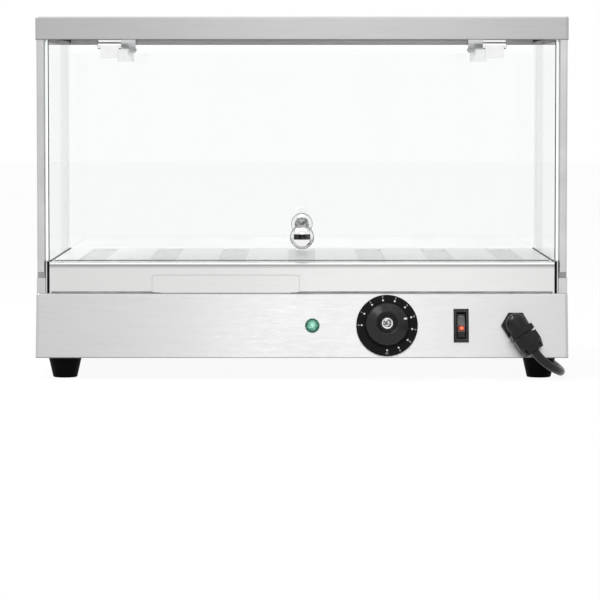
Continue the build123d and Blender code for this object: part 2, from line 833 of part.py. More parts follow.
# Heating tray under the base's top, with the tube on its supports
tray_bottom = base_inside_top - tray_depth
tray_front = tray_centre_y - tray_width / 2
heater_z = tray_bottom + sheet + heater_rise
heater_start_x = tray_length / 2 - heater_end_gap
heater_end_x = heater_start_x - heater_end_spacing
heater_out = tray_front - 12
with BuildPart() as heater_tray:
    with BuildSketch(level(tray_bottom)):
        with Locations((0, tray_centre_y)):
            Rectangle(tray_length, tray_width)
    extrude(amount=tray_depth)
    tray_top = heater_tray.faces().sort_by(Axis.Z)[-1]
    offset(amount=-sheet, openings=tray_top)
    with BuildSketch(level(base_inside_top - sheet)):
        with Locations((0, tray_centre_y)):
            Rectangle(tray_length + 16, tray_width + 16)
            Rectangle(tray_length - 2 * sheet, tray_width - 2 * sheet, mode=Mode.SUBTRACT)
    extrude(amount=sheet)
    with BuildSketch(wall(-tray_front - sheet)):
        with Locations((heater_start_x, heater_z), (heater_end_x, heater_z)):
            Circle(heater_radius + 0.2)
        with Locations((bulb_x, bulb_z)):
            Circle(1.2)
    extrude(amount=sheet, mode=Mode.SUBTRACT)
save(heater_tray, "heater_tray")

# the tube goes to the back of the tray, and comes forward in runs along it
run_spacing = (tray_width - 2 * heater_side_gap) / (heater_runs - 1)
run_places = [tray_front + heater_side_gap + run_spacing * run for run in range(heater_runs)]
heater_points = [(heater_start_x, heater_out, heater_z)]
for run, run_y in enumerate(reversed(run_places)):
    ends = (-heater_start_x, heater_end_x) if run % 2 else (heater_end_x, -heater_start_x)
    first_x = heater_start_x if run == 0 else ends[0]
    heater_points += [(first_x, run_y, heater_z), (ends[1], run_y, heater_z)]
heater_points += [(heater_end_x, heater_out, heater_z)]

with BuildPart() as heater_tube:
    with BuildLine() as heater_line:
        FilletPolyline(*heater_points, radius=heater_bend)
    with BuildSketch(Plane(origin=(heater_start_x, heater_out, heater_z), z_dir=(0, 1, 0))):
        Circle(heater_radius)
    sweep()
save(heater_tube, "heater_tube")

support_height = heater_z - heater_radius - tray_bottom - sheet
support_spacing = 115.0
with BuildPart() as heater_supports:
    with BuildSketch(level(tray_bottom + sheet)):
        with Locations((0, tray_centre_y)):
            with GridLocations(support_spacing, 0, 3, 1):
                Rectangle(6, tray_width - 40)
    extrude(amount=support_height)
save(heater_supports, "heater_supports")

with BuildPart() as insulation_mat:
    with BuildSketch(level(plate_top)):
        with Locations((0, tray_centre_y)):
            Rectangle(tray_length - 10, tray_width - 10)
    extrude(amount=tray_bottom - plate_top)
save(insulation_mat, "insulation_mat")

# Mains switch: a housing with a bezel, and a lit rocker on a pivot, here switched on
pivot = panel_point(switch_x, -pivot_depth)
axle_side = Vector(switch_body_width / 2, 0, 0)
with BuildPart() as switch_housing:
    with BuildSketch(panel(0)):
        with Locations((switch_x, 0)):
            Rectangle(bezel_width, bezel_height)
    extrude(amount=bezel_thickness)
    chamfer(switch_housing.faces().sort_by(outward)[-1].edges(), bezel_thickness / 2)
    with BuildSketch(panel(-switch_body_depth)):
        with Locations((switch_x, 0)):
            Rectangle(switch_body_width, switch_body_height)
    extrude(amount=switch_body_depth)
    with BuildSketch(panel(bezel_thickness - switch_mouth_depth)):
        with Locations((switch_x, 0)):
            Rectangle(switch_mouth_width, switch_mouth_height)
    extrude(amount=switch_mouth_depth, mode=Mode.SUBTRACT)
    with BuildSketch(Plane(origin=pivot - axle_side, x_dir=-panel_out, z_dir=(1, 0, 0))):
        Circle(pivot_radius + running_play)
    extrude(amount=switch_body_width, mode=Mode.SUBTRACT)
    with BuildSketch(panel(-switch_body_depth - blade_length)):
        with Locations((switch_x, 0)):
            with GridLocations(0, 9, 1, 3):
                Rectangle(blade_width, blade_thickness)
    extrude(amount=blade_length)
save(switch_housing, "switch_housing")

rocker_side = Vector(rocker_width / 2, 0, 0)
axle_end = axle_side - Vector(clearance, 0, 0)
with BuildPart() as switch_rocker:
    half_rocker = rocker_height / 2
    with BuildSketch(Plane(origin=pivot - rocker_side, x_dir=-panel_out, z_dir=(1, 0, 0))):
        with BuildLine():
            Polyline(
                (-1.6, half_rocker),
                (-7.4, -6.6),
                (-5.8, -half_rocker),
                (-2.8, -half_rocker),
                (2.6, -3),
                (2.6, 3),
                (1.4, half_rocker - 1),
                close=True,
            )
        make_face()
    extrude(amount=rocker_width)
    with BuildSketch(Plane(origin=pivot - axle_end, x_dir=-panel_out, z_dir=(1, 0, 0))):
        Circle(pivot_radius)
    extrude(amount=2 * axle_end.X)
save(switch_rocker, "switch_rocker")

# Cable gland: a hexagon on the panel, a round elbow, a collar, and a nut with teeth
outlet = Vector(math.sin(math.radians(gland_lean)), 0, 0)
outlet -= panel_up * math.cos(math.radians(gland_lean))
elbow_centre = panel_point(gland_x, elbow_reach)


def along_outlet(distance):
    """A plane square to the gland's outlet, at a distance from the elbow's centre."""
    return Plane(origin=elbow_centre + outlet * distance, x_dir=-panel_out, z_dir=outlet)


with BuildPart() as gland_elbow:
    with BuildSketch(panel(0)):
        with Locations((gland_x, 0)):
            RegularPolygon(gland_hex_radius, 6)
    extrude(amount=gland_hex_thickness)
    with BuildSketch(panel(-sheet - gland_thread)):
        with Locations((gland_x, 0)):
            Circle(gland_thread_radius)
    extrude(amount=gland_thread + sheet)
    with BuildSketch(panel(gland_hex_thickness)):
        with Locations((gland_x, 0)):
            Circle(elbow_radius)
    extrude(amount=elbow_reach - gland_hex_thickness)
    with Locations(elbow_centre):
        Sphere(elbow_radius)
    with BuildSketch(along_outlet(0)):
        Circle(elbow_radius)
    extrude(amount=collar_start)
    with BuildSketch(along_outlet(collar_start)):
        RegularPolygon(collar_radius, 6)
    extrude(amount=collar_length)
    with BuildSketch(along_outlet(collar_start + collar_length)):
        Circle(gland_thread_radius)
    extrude(amount=gland_nut_start - collar_start - collar_length)
    with BuildSketch(along_outlet(0)):
        Circle(gland_bore)
    extrude(amount=gland_nut_start, mode=Mode.SUBTRACT)
    with BuildSketch(panel(-sheet - gland_thread)):
        with Locations((gland_x, 0)):
            Circle(gland_bore)
    extrude(amount=gland_thread + sheet + elbow_reach, mode=Mode.SUBTRACT)
save(gland_elbow, "gland_elbow")

with BuildPart() as gland_locknut:
    with BuildSketch(panel(-sheet - locknut_thickness)):
        with Locations((gland_x, 0)):
            RegularPolygon(locknut_radius, 6)
            Circle(gland_thread_radius, mode=Mode.SUBTRACT)
    extrude(amount=locknut_thickness)
save(gland_locknut, "gland_locknut")

nut_end = gland_nut_start + gland_nut_length
with BuildPart() as gland_nut:
    with BuildSketch(along_outlet(gland_nut_start)):
        RegularPolygon(gland_nut_radius, 6)
    extrude(amount=gland_nut_length * 0.55)
    with BuildSketch(along_outlet(gland_nut_start + gland_nut_length * 0.55)):
        Circle(gland_nut_radius * 0.93)
    with BuildSketch(along_outlet(nut_end)):
        Circle(gland_tip_radius)
    loft()
    # notches between the clamping teeth, and the seal's bore
    with BuildSketch(along_outlet(nut_end - 5)):
        with PolarLocations(gland_tip_radius + 2.2, gland_teeth):
            Rectangle(5.5, 2.2)
    extrude(amount=5, mode=Mode.SUBTRACT)
    with BuildSketch(along_outlet(gland_nut_start)):
        Circle(gland_tip_radius - 4)
    extrude(amount=gland_nut_length, mode=Mode.SUBTRACT)
save(gland_nut, "gland_nut")

with BuildPart() as gland_seal:
    with BuildSketch(along_outlet(gland_nut_start)):
        Circle(gland_tip_radius - 4)
        Circle(cable_radius, mode=Mode.SUBTRACT)
    extrude(amount=gland_nut_length)
save(gland_seal, "gland_seal")

# Cable inside the gland and the base, up to the terminal block
block_x = half_width - flange_width - block_gap - block_width / 2
block_y = -(half_depth - foot_inset) + foot_nut_radius + block_gap + block_length / 2
with BuildPart() as terminal_block:
    with BuildSketch(level(plate_top)):
        with Locations((block_x, block_y)):
            Rectangle(block_width, block_length)
    extrude(amount=18)
    with BuildSketch(level(plate_top + 12)):
        with Locations((block_x, block_y)):
            with GridLocations(0, terminal_pitch, 1, 4):
                Rectangle(block_width - 4, 5)
    extrude(amount=6, mode=Mode.SUBTRACT)
save(terminal_block, "terminal_block")

wire_z = plate_top + 9
wire_radius = 1.4
with BuildPart() as internal_wires:
    for place in (-1, 0, 1):
        start = panel_point(gland_x + place * 3.4, -sheet - gland_thread)
        wire_y = block_y + place * terminal_pitch
        with BuildLine():
            FilletPolyline(
                start,
                (start.X, wire_y, start.Z),
                (start.X, wire_y, wire_z),
                (block_x - block_width / 2, wire_y, wire_z),
                radius=8,
            )
        with BuildSketch(Plane(origin=start, z_dir=(0, 1, 0))):
            Circle(wire_radius)
        sweep()
save(internal_wires, "internal_wires")

earth_x = gland_x - 36.0
earth_y = -half_depth + 30.0
with BuildPart() as earth_stud:
    with BuildSketch(level(plate_top)):
        with Locations((earth_x, earth_y)):
            Circle(2.5)
    extrude(amount=12)
    with BuildSketch(level(plate_top)):
        with Locations((earth_x, earth_y)):
            RegularPolygon(5, 6)
    extrude(amount=4)
save(earth_stud, "earth_stud")

# Free cable: out of the gland, onto the table beside the front foot, and back under
# the base's right edge to the coil behind the case
coil_x = 270.4 - coil_radius
coil_y = half_depth + 12.0 + coil_radius
coil_z = cable_radius + tie_thickness
exit_point = elbow_centre + outlet * nut_end
exit_run_end = exit_point + outlet * cable_exit_run
cable_points = [
    (exit_point.X, exit_point.Y, exit_point.Z),
    (exit_run_end.X, exit_run_end.Y, exit_run_end.Z),
    (258.0, -192.5, 13.4),
    (267.6, -180.0, 8.2),
    (271.2, -154.0, 5.6),
    (272.6, -118.0, 4.8),
    (272.2, -60.0, 4.5),
    (270.6, 12.0, 4.5),
    (270.2, 88.0, 4.7),
    (270.9, 156.0, 5.2),
    (270.4, 205.0, coil_z),
    (270.4, coil_y, coil_z),
]


def corner_radii(points):
    """The radius of each corner: 0.45 of its shorter run over the tangent of half its turn."""
    radii = []
    for before, corner, after in zip(points, points[1:], points[2:]):
        arriving = Vector(*corner) - Vector(*before)
        leaving = Vector(*after) - Vector(*corner)
        half_turn = math.radians(arriving.get_angle(leaving)) / 2
        radii.append(0.45 * min(arriving.length, leaving.length) / math.tan(half_turn))
    return radii


cable_radii = corner_radii(cable_points)
print("cable radii", [round(r, 1) for r in cable_radii])

with BuildPart() as cable_free:
    with BuildLine() as cable_line:
        FilletPolyline(*cable_points, radius=cable_radii)
    with BuildSketch(along_outlet(nut_end)):
        Circle(cable_radius)
    sweep()
cable_length = cable_line.wires()[0].length
print("free cable", round(cable_length, 1), "mm, volume over section times length",
      round(cable_free.part.volume / (math.pi * cable_radius**2 * cable_length), 4))
save(cable_free, "cable_free")

# Coil: half turns whose ends lie on one line, spiralling in, climbing, and out again
# The upper layer lies over the lower one's ends on its way out
inward = [coil_radius - step * coil_pitch / 2 for step in range(coil_half_turns + 1)]
reaches = inward + inward[2:4] + inward[:1]
heights = [coil_z] * coil_half_turns
heights += [coil_z + coil_pitch] * (len(reaches) - coil_half_turns)
coil_ends = [
    Vector(coil_x + reach * (-1) ** index, coil_y, height)
    for index, (reach, height) in enumerate(zip(reaches, heights))
]
with BuildPart() as cable_coil:
    with BuildLine() as coil_line:
        for index, (start, end) in enumerate(zip(coil_ends, coil_ends[1:])):
            middle = (start + end) / 2
            bulge = (start - end).length / 2 * (-1) ** index
            ThreePointArc(start, middle + Vector(0, bulge, 0), end)
        coil_exit = coil_ends[-1] + Vector(0, coil_tail, 0)
        Line(coil_ends[-1], coil_exit)
    with BuildSketch(Plane(origin=coil_ends[0], z_dir=(0, 1, 0))):
        Circle(cable_radius)
    sweep()
coil_length = coil_line.wires()[0].length
print("coil", round(coil_length, 1), "mm, cord in all", round(coil_length + cable_length, 1))


def least_gap(line, length):
    """The least gap between stretches of the coil that lie over half a turn apart."""
    count = int(length / 6)
    points = [line @ (step / count) for step in range(count + 1)]
    apart = int(2 * coil_radius / 6)
    return min(
        (points[i] - points[j]).length
        for i in range(len(points))
        for j in range(i + apart, len(points))
    ) - 2 * cable_radius


print("coil least gap", round(least_gap(coil_line.wires()[0], coil_length), 2))
save(cable_coil, "cable_coil")

# Tie round the bundle on the coil's left
tie_inner = inward[-1] - cable_radius
tie_outer = inward[1] + cable_radius
tie_x = coil_x - (tie_inner + tie_outer) / 2
tie_span = tie_outer - tie_inner
with BuildPart() as coil_tie:
    with BuildSketch(Plane(origin=(0, coil_y - tie_width / 2, 0), x_dir=(1, 0, 0), z_dir=(0, -1, 0))):
        with Locations((tie_x, coil_z + coil_pitch / 2)):
            RectangleRounded(
                tie_span + 2 * tie_thickness,
                coil_pitch + 2 * cable_radius + 2 * tie_thickness,
                cable_radius + tie_thickness,
            )
            RectangleRounded(
                tie_span, coil_pitch + 2 * cable_radius, cable_radius, mode=Mode.SUBTRACT
            )
    extrude(amount=-tie_width)
save(coil_tie, "coil_tie")

# Angled mains plug lying on its back beside the coil, its pins upwards
plug_y = coil_exit.Y + 26.0 + plug_radius
with BuildPart() as plug_body:
    with BuildSketch(level(0)):
        with Locations((coil_exit.X, plug_y)):
            Circle(plug_radius)
    extrude(amount=plug_height)
    fillet(plug_body.faces().sort_by(Axis.Z)[0].edges(), 4)
    with BuildSketch(Plane(origin=coil_exit, z_dir=(0, 1, 0))):
        Circle(cable_radius + 1.6)
    with BuildSketch(Plane(origin=coil_exit + Vector(0, 30, 0), z_dir=(0, 1, 0))):
        Circle(cable_radius + 6)
    loft()
save(plug_body, "plug_body")

with BuildPart() as plug_pins:
    with BuildSketch(level(plug_height)):
        with Locations((coil_exit.X, plug_y)):
            with GridLocations(plug_pin_spacing, 0, 2, 1):
                Circle(plug_pin_radius)
    extrude(amount=plug_pin_length)
    fillet(plug_pins.faces().sort_by(Axis.Z)[-2:].edges(), 1.2)
save(plug_pins, "plug_pins")
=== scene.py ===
import json
import math

import bmesh
import bpy
from mathutils import Matrix, Vector


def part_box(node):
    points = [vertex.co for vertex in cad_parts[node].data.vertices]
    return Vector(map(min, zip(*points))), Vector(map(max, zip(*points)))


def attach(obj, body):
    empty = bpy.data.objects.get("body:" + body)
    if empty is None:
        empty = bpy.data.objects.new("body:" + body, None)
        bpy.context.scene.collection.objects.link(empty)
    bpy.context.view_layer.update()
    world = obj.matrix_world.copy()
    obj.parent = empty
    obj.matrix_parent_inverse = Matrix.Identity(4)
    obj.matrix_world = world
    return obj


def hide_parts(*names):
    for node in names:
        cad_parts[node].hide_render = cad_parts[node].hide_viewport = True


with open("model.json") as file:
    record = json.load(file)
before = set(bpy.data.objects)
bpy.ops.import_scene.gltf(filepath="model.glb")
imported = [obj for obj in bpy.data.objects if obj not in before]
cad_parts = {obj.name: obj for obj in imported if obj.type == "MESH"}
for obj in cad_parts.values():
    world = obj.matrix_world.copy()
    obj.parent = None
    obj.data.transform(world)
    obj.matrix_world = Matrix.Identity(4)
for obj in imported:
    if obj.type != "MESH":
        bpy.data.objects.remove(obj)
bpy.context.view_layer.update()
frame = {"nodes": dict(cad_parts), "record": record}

# Heated display case. Metres, in the frame's axes: the controls face -Y and +Z is up.
scene = bpy.context.scene
scene.view_settings.view_transform = "Standard"
mm = 0.001

# Camera: its place, tilt and lens
camera_place = (-0.0021, -3.6983, 0.2903)
camera_tilt = 3.384  # degrees under the horizon
camera_lens = 203.7

# The front panel leans back, and the controls' centres are on one line across it
panel_lean = math.atan2(14.0, 66.4)  # 14 mm over its height
panel_out = Vector((0, -math.cos(panel_lean), math.sin(panel_lean)))
panel_up = Vector((0, math.sin(panel_lean), math.cos(panel_lean)))
controls_line = Vector((0, -0.173521, 0.0551))
lamp_x = 0.0107
dial_x = 0.0884
switch_x = 0.1656

# Dial: its marks go clockwise from 0 at the left, and the knob stands at 6
mark_count = 11
mark_step = math.radians(27.0)
dot_ring = 0.0264
dot_radius = 0.00095
print_thickness = 0.00015
number_ring = 0.0294
number_size = 0.0032
dial_thickness = 0.004
pointer_angle = math.radians(16.0)

# Thermostat's knob, in millimetres out from its axis and its panel: the ends of its cone,
# and the level that its cap sits on
spindle_bore = 3.05
cone_foot = (20.9, 12.95)
cone_top = (13.0, 20.45)
cap_seat = 16.0
cap_sink = 17.1  # the level of the cap's sunken face
pointer_place = (0.0196, 0.01422)  # of its middle, in metres out from the axis and the panel
pointer_size = (0.0026, 0.0011, 0.0002)  # half its length and width, and its thickness

# Rocker: the lower and upper end of its face, in millimetres up the panel and out of it
rocker_low = Vector((-6.6, 2.9))
rocker_high = Vector((12.5, -2.9))
window_up = -0.0030
window_size = (0.0032, 0.0031, 0.00025)  # half its width and height, and its thickness
window_glow = 0.0036  # how far the light behind it spreads
dash_up = 0.0098
dash_size = (0.0023, 0.0004, 0.00012)

# Lamp
lens_radius = 0.0074
lens_middle = 0.003  # out of the panel
lens_cells = 650.0

# Deck: the level between its top and its grooves' floors, and the bend of its apron
groove_level = 0.1197
groove_floor = 0.1189
bend_height = 0.1184
hem_height = 0.0228  # of the housing's lower bend, where shade is painted
cover_hem = 0.3528  # of the cover's, where shade is painted
bend_shade_reach = 0.0044  # how far a bend's painted shade line fades downwards
bend_shade_share = 0.7  # share of the painted shade's colour at the line
# the colour of the painted shade at the bends
bend_shade_colour = (0.03, 0.03, 0.03, 1)
# painted highlight on the deck's faces above its grooves' floors: the grooves' walls and the top of
# its bend
edge_highlight_colour = (0.82, 0.82, 0.82, 1)
wall_lift = 4.0  # of the normals on a groove's walls
facing_share = 0.7  # of a normal, from which its face counts as facing that way
brush_stretch = 40  # of a streak's length over its width

# Doors
door_faces = {"front": -1, "rear": 1}
door_outer = 0.163
door_inner = 0.159
knob_height = 0.148
knob_reach = 0.027  # of the ball's centre from the glass
ball_radius = 0.0125
stem_radius = 0.0045
ball_steps = 40
reflection_band_rise = 0.0006  # of the ball's painted dark reflection band over its middle
reflection_band_width = 0.0088
reflection_band_height = 0.003
reflection_band_edge = 0.0004
dark_rim_radius = 0.0112  # from which the ball has a painted dark reflection round its rim
dark_rim_edge = 1 / 1500
screw_head = 0.0036  # of the cross in the knob's screw from the glass
cross_size = (0.0034, 0.0006, 0.0001)
cross_turn = 0.6
# the painted shadow strip under the front door: its inset at each end, and its height
door_shadow_inset = 0.003
door_shadow_depth = 0.001

# Side panes and the rubber that they stand in
ground_width = 0.0019
ground_thickness = 0.0004
gasket_width = 0.0046
outer_trim = 0.0012
inner_trim = 0.0007
trim_thickness = 0.00015

# Stop behind the drawer's front
stop_clearance = 0.0003
stop_lap = 0.0012
stop_thickness = 0.0004

# Sealant under the aprons
apron_gap = 0.002
seal_clearance = 0.0006
seal_setback = 0.0004
seal_reach = 0.0018

# Studio
world_fill = 0.75
floor_reach = 12.0
floor_seen = 0.92  # share of plain white in what is seen of the floor
# each lamp's place, what it is aimed at, its width and height, and its watts
lamps = {
    "key": ((0.1, -2.1, 1.6), (0, 0, 0.1), 1.3, 0.8, 3.0),
    "overhead": ((0.1, 0.1, 1.9), (0, 0, 0.1), 1.8, 1.4, 8.0),
    "upper_left": ((-0.95, -0.3, 1.55), (0.05, -0.18, 0.06), 0.6, 0.6, 15.0),
    "centre": ((0.06, -1.9, 0.72), (0.03, -0.17, 0.06), 0.4, 0.5, 1.2),
    "low": ((0.13, -0.75, 0.035), (0.11, -0.165, 0.1), 0.3, 0.05, 0.05),
}

# Cord
cable_diameter = 0.009
cord_route = [
    (0.240681, -0.194622, 0.030151),
    (0.245310, -0.196093, 0.023176),
    (0.2580, -0.1925, 0.0134),
    (0.2676, -0.1800, 0.0082),
    (0.2712, -0.1540, 0.0056),
    (0.2726, -0.1180, 0.0048),
    (0.2722, -0.0600, 0.0045),
    (0.2706, 0.0120, 0.0045),
    (0.2702, 0.0880, 0.0047),
    (0.2709, 0.1560, 0.0052),
    (0.2704, 0.2050, 0.0055),
]
coil_centre = (0.2084, 0.2545)
coil_radius = 0.062
coil_pitch = 0.0095
coil_height = 0.0055
coil_half_turns = 5
coil_tail = 0.038
points_per_half_turn = 12


def place_camera():
    """The photograph's camera."""
    camera = bpy.data.objects.new("camera", bpy.data.cameras.new("camera"))
    scene.collection.objects.link(camera)
    camera.location = camera_place
    camera.rotation_euler = (math.radians(90 - camera_tilt), 0, 0)
    camera.data.lens = camera_lens
    camera.data.clip_end = 100
    scene.camera = camera


def coil_points():
    """The coil's points: half turns between ends on one line, inwards, up, and out again."""
    inward = [coil_radius - step * coil_pitch / 2 for step in range(coil_half_turns + 1)]
    reaches = inward + inward[2:4] + inward[:1]
    heights = [coil_height] * coil_half_turns
    heights += [coil_height + coil_pitch] * (len(reaches) - coil_half_turns)
    ends = [
        Vector((coil_centre[0] + reach * (-1) ** index, coil_centre[1], height))
        for index, (reach, height) in enumerate(zip(reaches, heights))
    ]
    points = [ends[0]]
    for index, (start, end) in enumerate(zip(ends, ends[1:])):
        middle = (start + end) / 2
        arm = (start - end) / 2
        bulge = Vector((0, (start - end).length / 2 * (-1) ** index, 0))
        for step in range(1, points_per_half_turn + 1):
            angle = math.pi * step / points_per_half_turn
            points.append(middle + arm * math.cos(angle) + bulge * math.sin(angle))
    points.append(points[-1] + Vector((0, coil_tail, 0)))
    return points


def spline_curve(name, points, radius):
    """A round tube along a smooth NURBS line."""
    curve = bpy.data.curves.new(name, "CURVE")
    curve.dimensions = "3D"
    spline = curve.splines.new("NURBS")
    spline.points.add(len(points) - 1)
    for point, place in zip(spline.points, points):
        point.co = (*place, 1)
        point.radius = radius
    spline.order_u = 3
    spline.use_endpoint_u = True
    curve.resolution_u = 8
    # the points carry the radius, so that the curve's box is the tube's
    curve.bevel_depth = 1.0
    curve.bevel_resolution = 6
    curve.use_fill_caps = True
    made = bpy.data.objects.new(name, curve)
    scene.collection.objects.link(made)
    return made


def make_cord():
    """The mains cord from the gland to its plug."""
    points = [Vector(p) for p in cord_route] + coil_points()
    cord = spline_curve("mains_cord", points, cable_diameter / 2)
    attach(cord, "case")
    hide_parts("cable_free", "cable_coil")
    on_cord = ["gland_elbow", "gland_locknut", "gland_nut", "gland_seal", "coil_tie"]
    on_cord += ["plug_body", "plug_pins"]
    return cord


class Shading:
    """A material's nodes around one Principled shader."""

    def __init__(self, name):
        self.material = bpy.data.materials.new(name)
        self.material.use_nodes = True
        self.tree = self.material.node_tree
        self.shader = self.tree.nodes["Principled BSDF"]
        self.output = self.tree.nodes["Material Output"]
        self.coordinates = self.node("ShaderNodeTexCoord")
        self.place = self.coordinates.outputs["Object"]

    def node(self, kind, inputs=None, **settings):
        """A new node with its inputs linked or set."""
        made = self.tree.nodes.new(kind)
        for key, value in settings.items():
            setattr(made, key, value)
        self.feed(made, inputs or {})
        return made

    def feed(self, node, inputs):
        """Link or set a node's inputs, by name or number."""
        for key, value in inputs.items():
            if isinstance(value, bpy.types.NodeSocket):
                self.tree.links.new(value, node.inputs[key])
            else:
                node.inputs[key].default_value = value

    def surface(self, **values):
        """Link or set the shader's inputs, written with _ for a space."""
        self.feed(self.shader, {key.replace("_", " "): value for key, value in values.items()})

    def math(self, operation, *values, clamp=False):
        """The result of a sum on values or sockets."""
        made = self.node("ShaderNodeMath", dict(enumerate(values)), operation=operation)
        made.use_clamp = clamp
        return made.outputs["Value"]

    def vector(self, operation, *values, result="Vector"):
        """The result of a vector sum, or its length or distance."""
        made = self.node("ShaderNodeVectorMath", dict(enumerate(values)), operation=operation)
        return made.outputs[result]

    def noise(self, scale, detail=3.0, stretch=(1, 1, 1), place=None):
        """Noise in the object's own coordinates, scale in features a metre."""
        mapping = self.node(
            "ShaderNodeMapping", {"Vector": place or self.place, "Scale": stretch}
        )
        made = self.node(
            "ShaderNodeTexNoise",
            {"Vector": mapping.outputs["Vector"], "Scale": scale, "Detail": detail},
        )
        return made.outputs["Fac"]

    def ramp(self, value, low, high, start=0.3, end=0.7):
        """A colour that runs from low to high."""
        made = self.node("ShaderNodeValToRGB", {"Fac": value})
        first, last = made.color_ramp.elements
        first.position = start
        last.position = end
        first.color = (*low, 1)
        last.color = (*high, 1)
        return made.outputs["Color"]

    def span(self, value, low, high):
        """A number that runs from low to high with noise."""
        made = self.node(
            "ShaderNodeMapRange",
            {"Value": value, "From Min": 0.3, "From Max": 0.7, "To Min": low, "To Max": high},
        )
        return made.outputs["Result"]

    def blend(self, factor, first, second):
        """A mix of two colours."""
        made = self.node("ShaderNodeMix", data_type="RGBA")
        self.feed(made, {0: factor, 6: first, 7: second})
        return made.outputs[2]

    def bump(self, height, strength, distance, facing=None):
        """A normal bent by a height."""
        made = self.node(
            "ShaderNodeBump", {"Height": height, "Strength": strength, "Distance": distance}
        )
        if facing:
            self.feed(made, {"Normal": facing})
        return made.outputs["Normal"]

    def seen(self):
        """1 for rays from the camera, a reflection or through glass."""
        rays = self.node("ShaderNodeLightPath").outputs
        either = self.math("ADD", rays["Is Camera Ray"], rays["Is Glossy Ray"])
        return self.math("ADD", either, rays["Is Transmission Ray"], clamp=True)


def scaled(colour, factor):
    """A colour made lighter or darker."""
    return tuple(min(1.0, channel * factor) for channel in colour)


def brushed_metal(name, colour, roughness, bend_shade_height, streak, depth=0.12, painted_top_colours=None):
    """Brushed sheet: streaks along the width, and front to rear on its side faces.

    A bend has a dark line of painted shade at one height, fading below it. painted_top_colours
    paint light on the upward faces of a level top and of its grooves' floors.
    """
    made = Shading(name)
    normal = made.node("ShaderNodeSeparateXYZ", {0: made.coordinates.outputs["Normal"]})
    sideways = made.math("ABSOLUTE", normal.outputs["X"])
    on_side = made.math("GREATER_THAN", sideways, facing_share)
    fine = brush_stretch
    along_x = made.node("ShaderNodeMapping", {"Vector": made.place, "Scale": (1, fine, fine)})
    along_y = made.node("ShaderNodeMapping", {"Vector": made.place, "Scale": (fine, 1, fine)})
    grain = made.node("ShaderNodeMix", data_type="VECTOR")
    made.feed(grain, {0: on_side, 4: along_x.outputs[0], 5: along_y.outputs[0]})
    grain_place = grain.outputs[1]
    streaks = made.noise(16, 3, place=grain_place)
    hairlines = made.noise(70, 2, place=grain_place)
    clouds = made.noise(9, 2)
    tone = made.ramp(streaks, scaled(colour, 1 - streak), scaled(colour, 1 + streak))
    height = made.node("ShaderNodeSeparateXYZ", {0: made.place}).outputs["Z"]
    facing = made.node("ShaderNodeNewGeometry").outputs["Normal"]
    if painted_top_colours:
        # painted highlight above the grooves' floors, and painted light on the upward faces:
        # lightest on the level top, less so in the grooves
        above = made.math("GREATER_THAN", height, groove_floor)
        tone = made.blend(above, tone, edge_highlight_colour)
        low = made.math("LESS_THAN", height, groove_level)
        upward = made.math("GREATER_THAN", normal.outputs["Z"], facing_share)
        in_groove = made.math("MULTIPLY", low, upward)
        for colour_there, share in zip(painted_top_colours, (upward, in_groove)):
            shade = made.ramp(streaks, scaled(colour_there, 0.96), colour_there)
            tone = made.blend(share, tone, shade)
        # the press rounds the grooves' walls, which face up and sideways
        walls = made.math("MULTIPLY", on_side, above)
        lift = made.node("ShaderNodeCombineXYZ", {"Z": made.math("MULTIPLY", walls, wall_lift)})
        facing = made.vector("ADD", facing, lift.outputs[0])
        facing = made.vector("NORMALIZE", facing)
    # painted shade: dark at a bend's line, and less so below it
    below = made.math("SUBTRACT", bend_shade_height, height)
    level = made.math("ABSOLUTE", normal.outputs["Z"])
    upright = made.math("LESS_THAN", level, facing_share)
    near = made.math("MULTIPLY", made.math("GREATER_THAN", below, 0.0), upright)
    fading = made.math("MULTIPLY", below, bend_shade_share / bend_shade_reach)
    painted_bend_shade = made.math("SUBTRACT", bend_shade_share, fading, clamp=True)
    tone = made.blend(made.math("MULTIPLY", near, painted_bend_shade), tone, bend_shade_colour)
    rough = made.math("ADD", made.span(hairlines, -0.05, 0.05), made.span(clouds, -0.02, 0.02))
    tangent = made.node("ShaderNodeCombineXYZ", {"X": 1.0, "Y": 0.02, "Z": 0.0})
    made.surface(
        Base_Color=tone,
        Metallic=1.0,
        Roughness=made.math("ADD", rough, roughness),
        Anisotropic=0.6,
        Anisotropic_Rotation=0.25,
        Tangent=tangent.outputs["Vector"],
        Normal=made.bump(hairlines, depth, 0.00004, facing),
    )
    return made.material


def satin_metal(name, colour, roughness, scale=600):
    """Plain metal with fine mottling and a few clouds."""
    made = Shading(name)
    fine = made.noise(scale, 4)
    clouds = made.noise(25, 3)
    made.surface(
        Base_Color=made.ramp(clouds, scaled(colour, 0.9), scaled(colour, 1.08)),
        Metallic=1.0,
        Roughness=made.math("ADD", made.span(fine, -0.05, 0.06), roughness),
        Normal=made.bump(fine, 0.1, 0.00005),
    )
    return made.material


def worn_metal(name, dark, light):
    """Metal with marks from a tool."""
    made = Shading(name)
    marks = made.noise(330, 4)
    made.surface(
        Base_Color=made.ramp(marks, dark, light, 0.4, 0.62),
        Metallic=1.0,
        Roughness=made.span(marks, 0.6, 0.4),
        Normal=made.bump(marks, 0.3, 0.0002),
    )
    return made.material


def moulded_plastic(name, colour, roughness, texture=0.12, scale=1500, lift=1.35, gloss=0.22):
    """Moulded plastic: a fine matt texture, and faint clouds in its colour."""
    made = Shading(name)
    grit = made.noise(scale, 5)
    clouds = made.noise(60, 3)
    made.surface(
        Base_Color=made.ramp(clouds, scaled(colour, 1 / lift), scaled(colour, lift)),
        Roughness=made.math("ADD", made.span(clouds, -0.04, 0.05), roughness),
        Specular_IOR_Level=gloss,
        Normal=made.bump(grit, texture, 0.0001),
    )
    return made.material


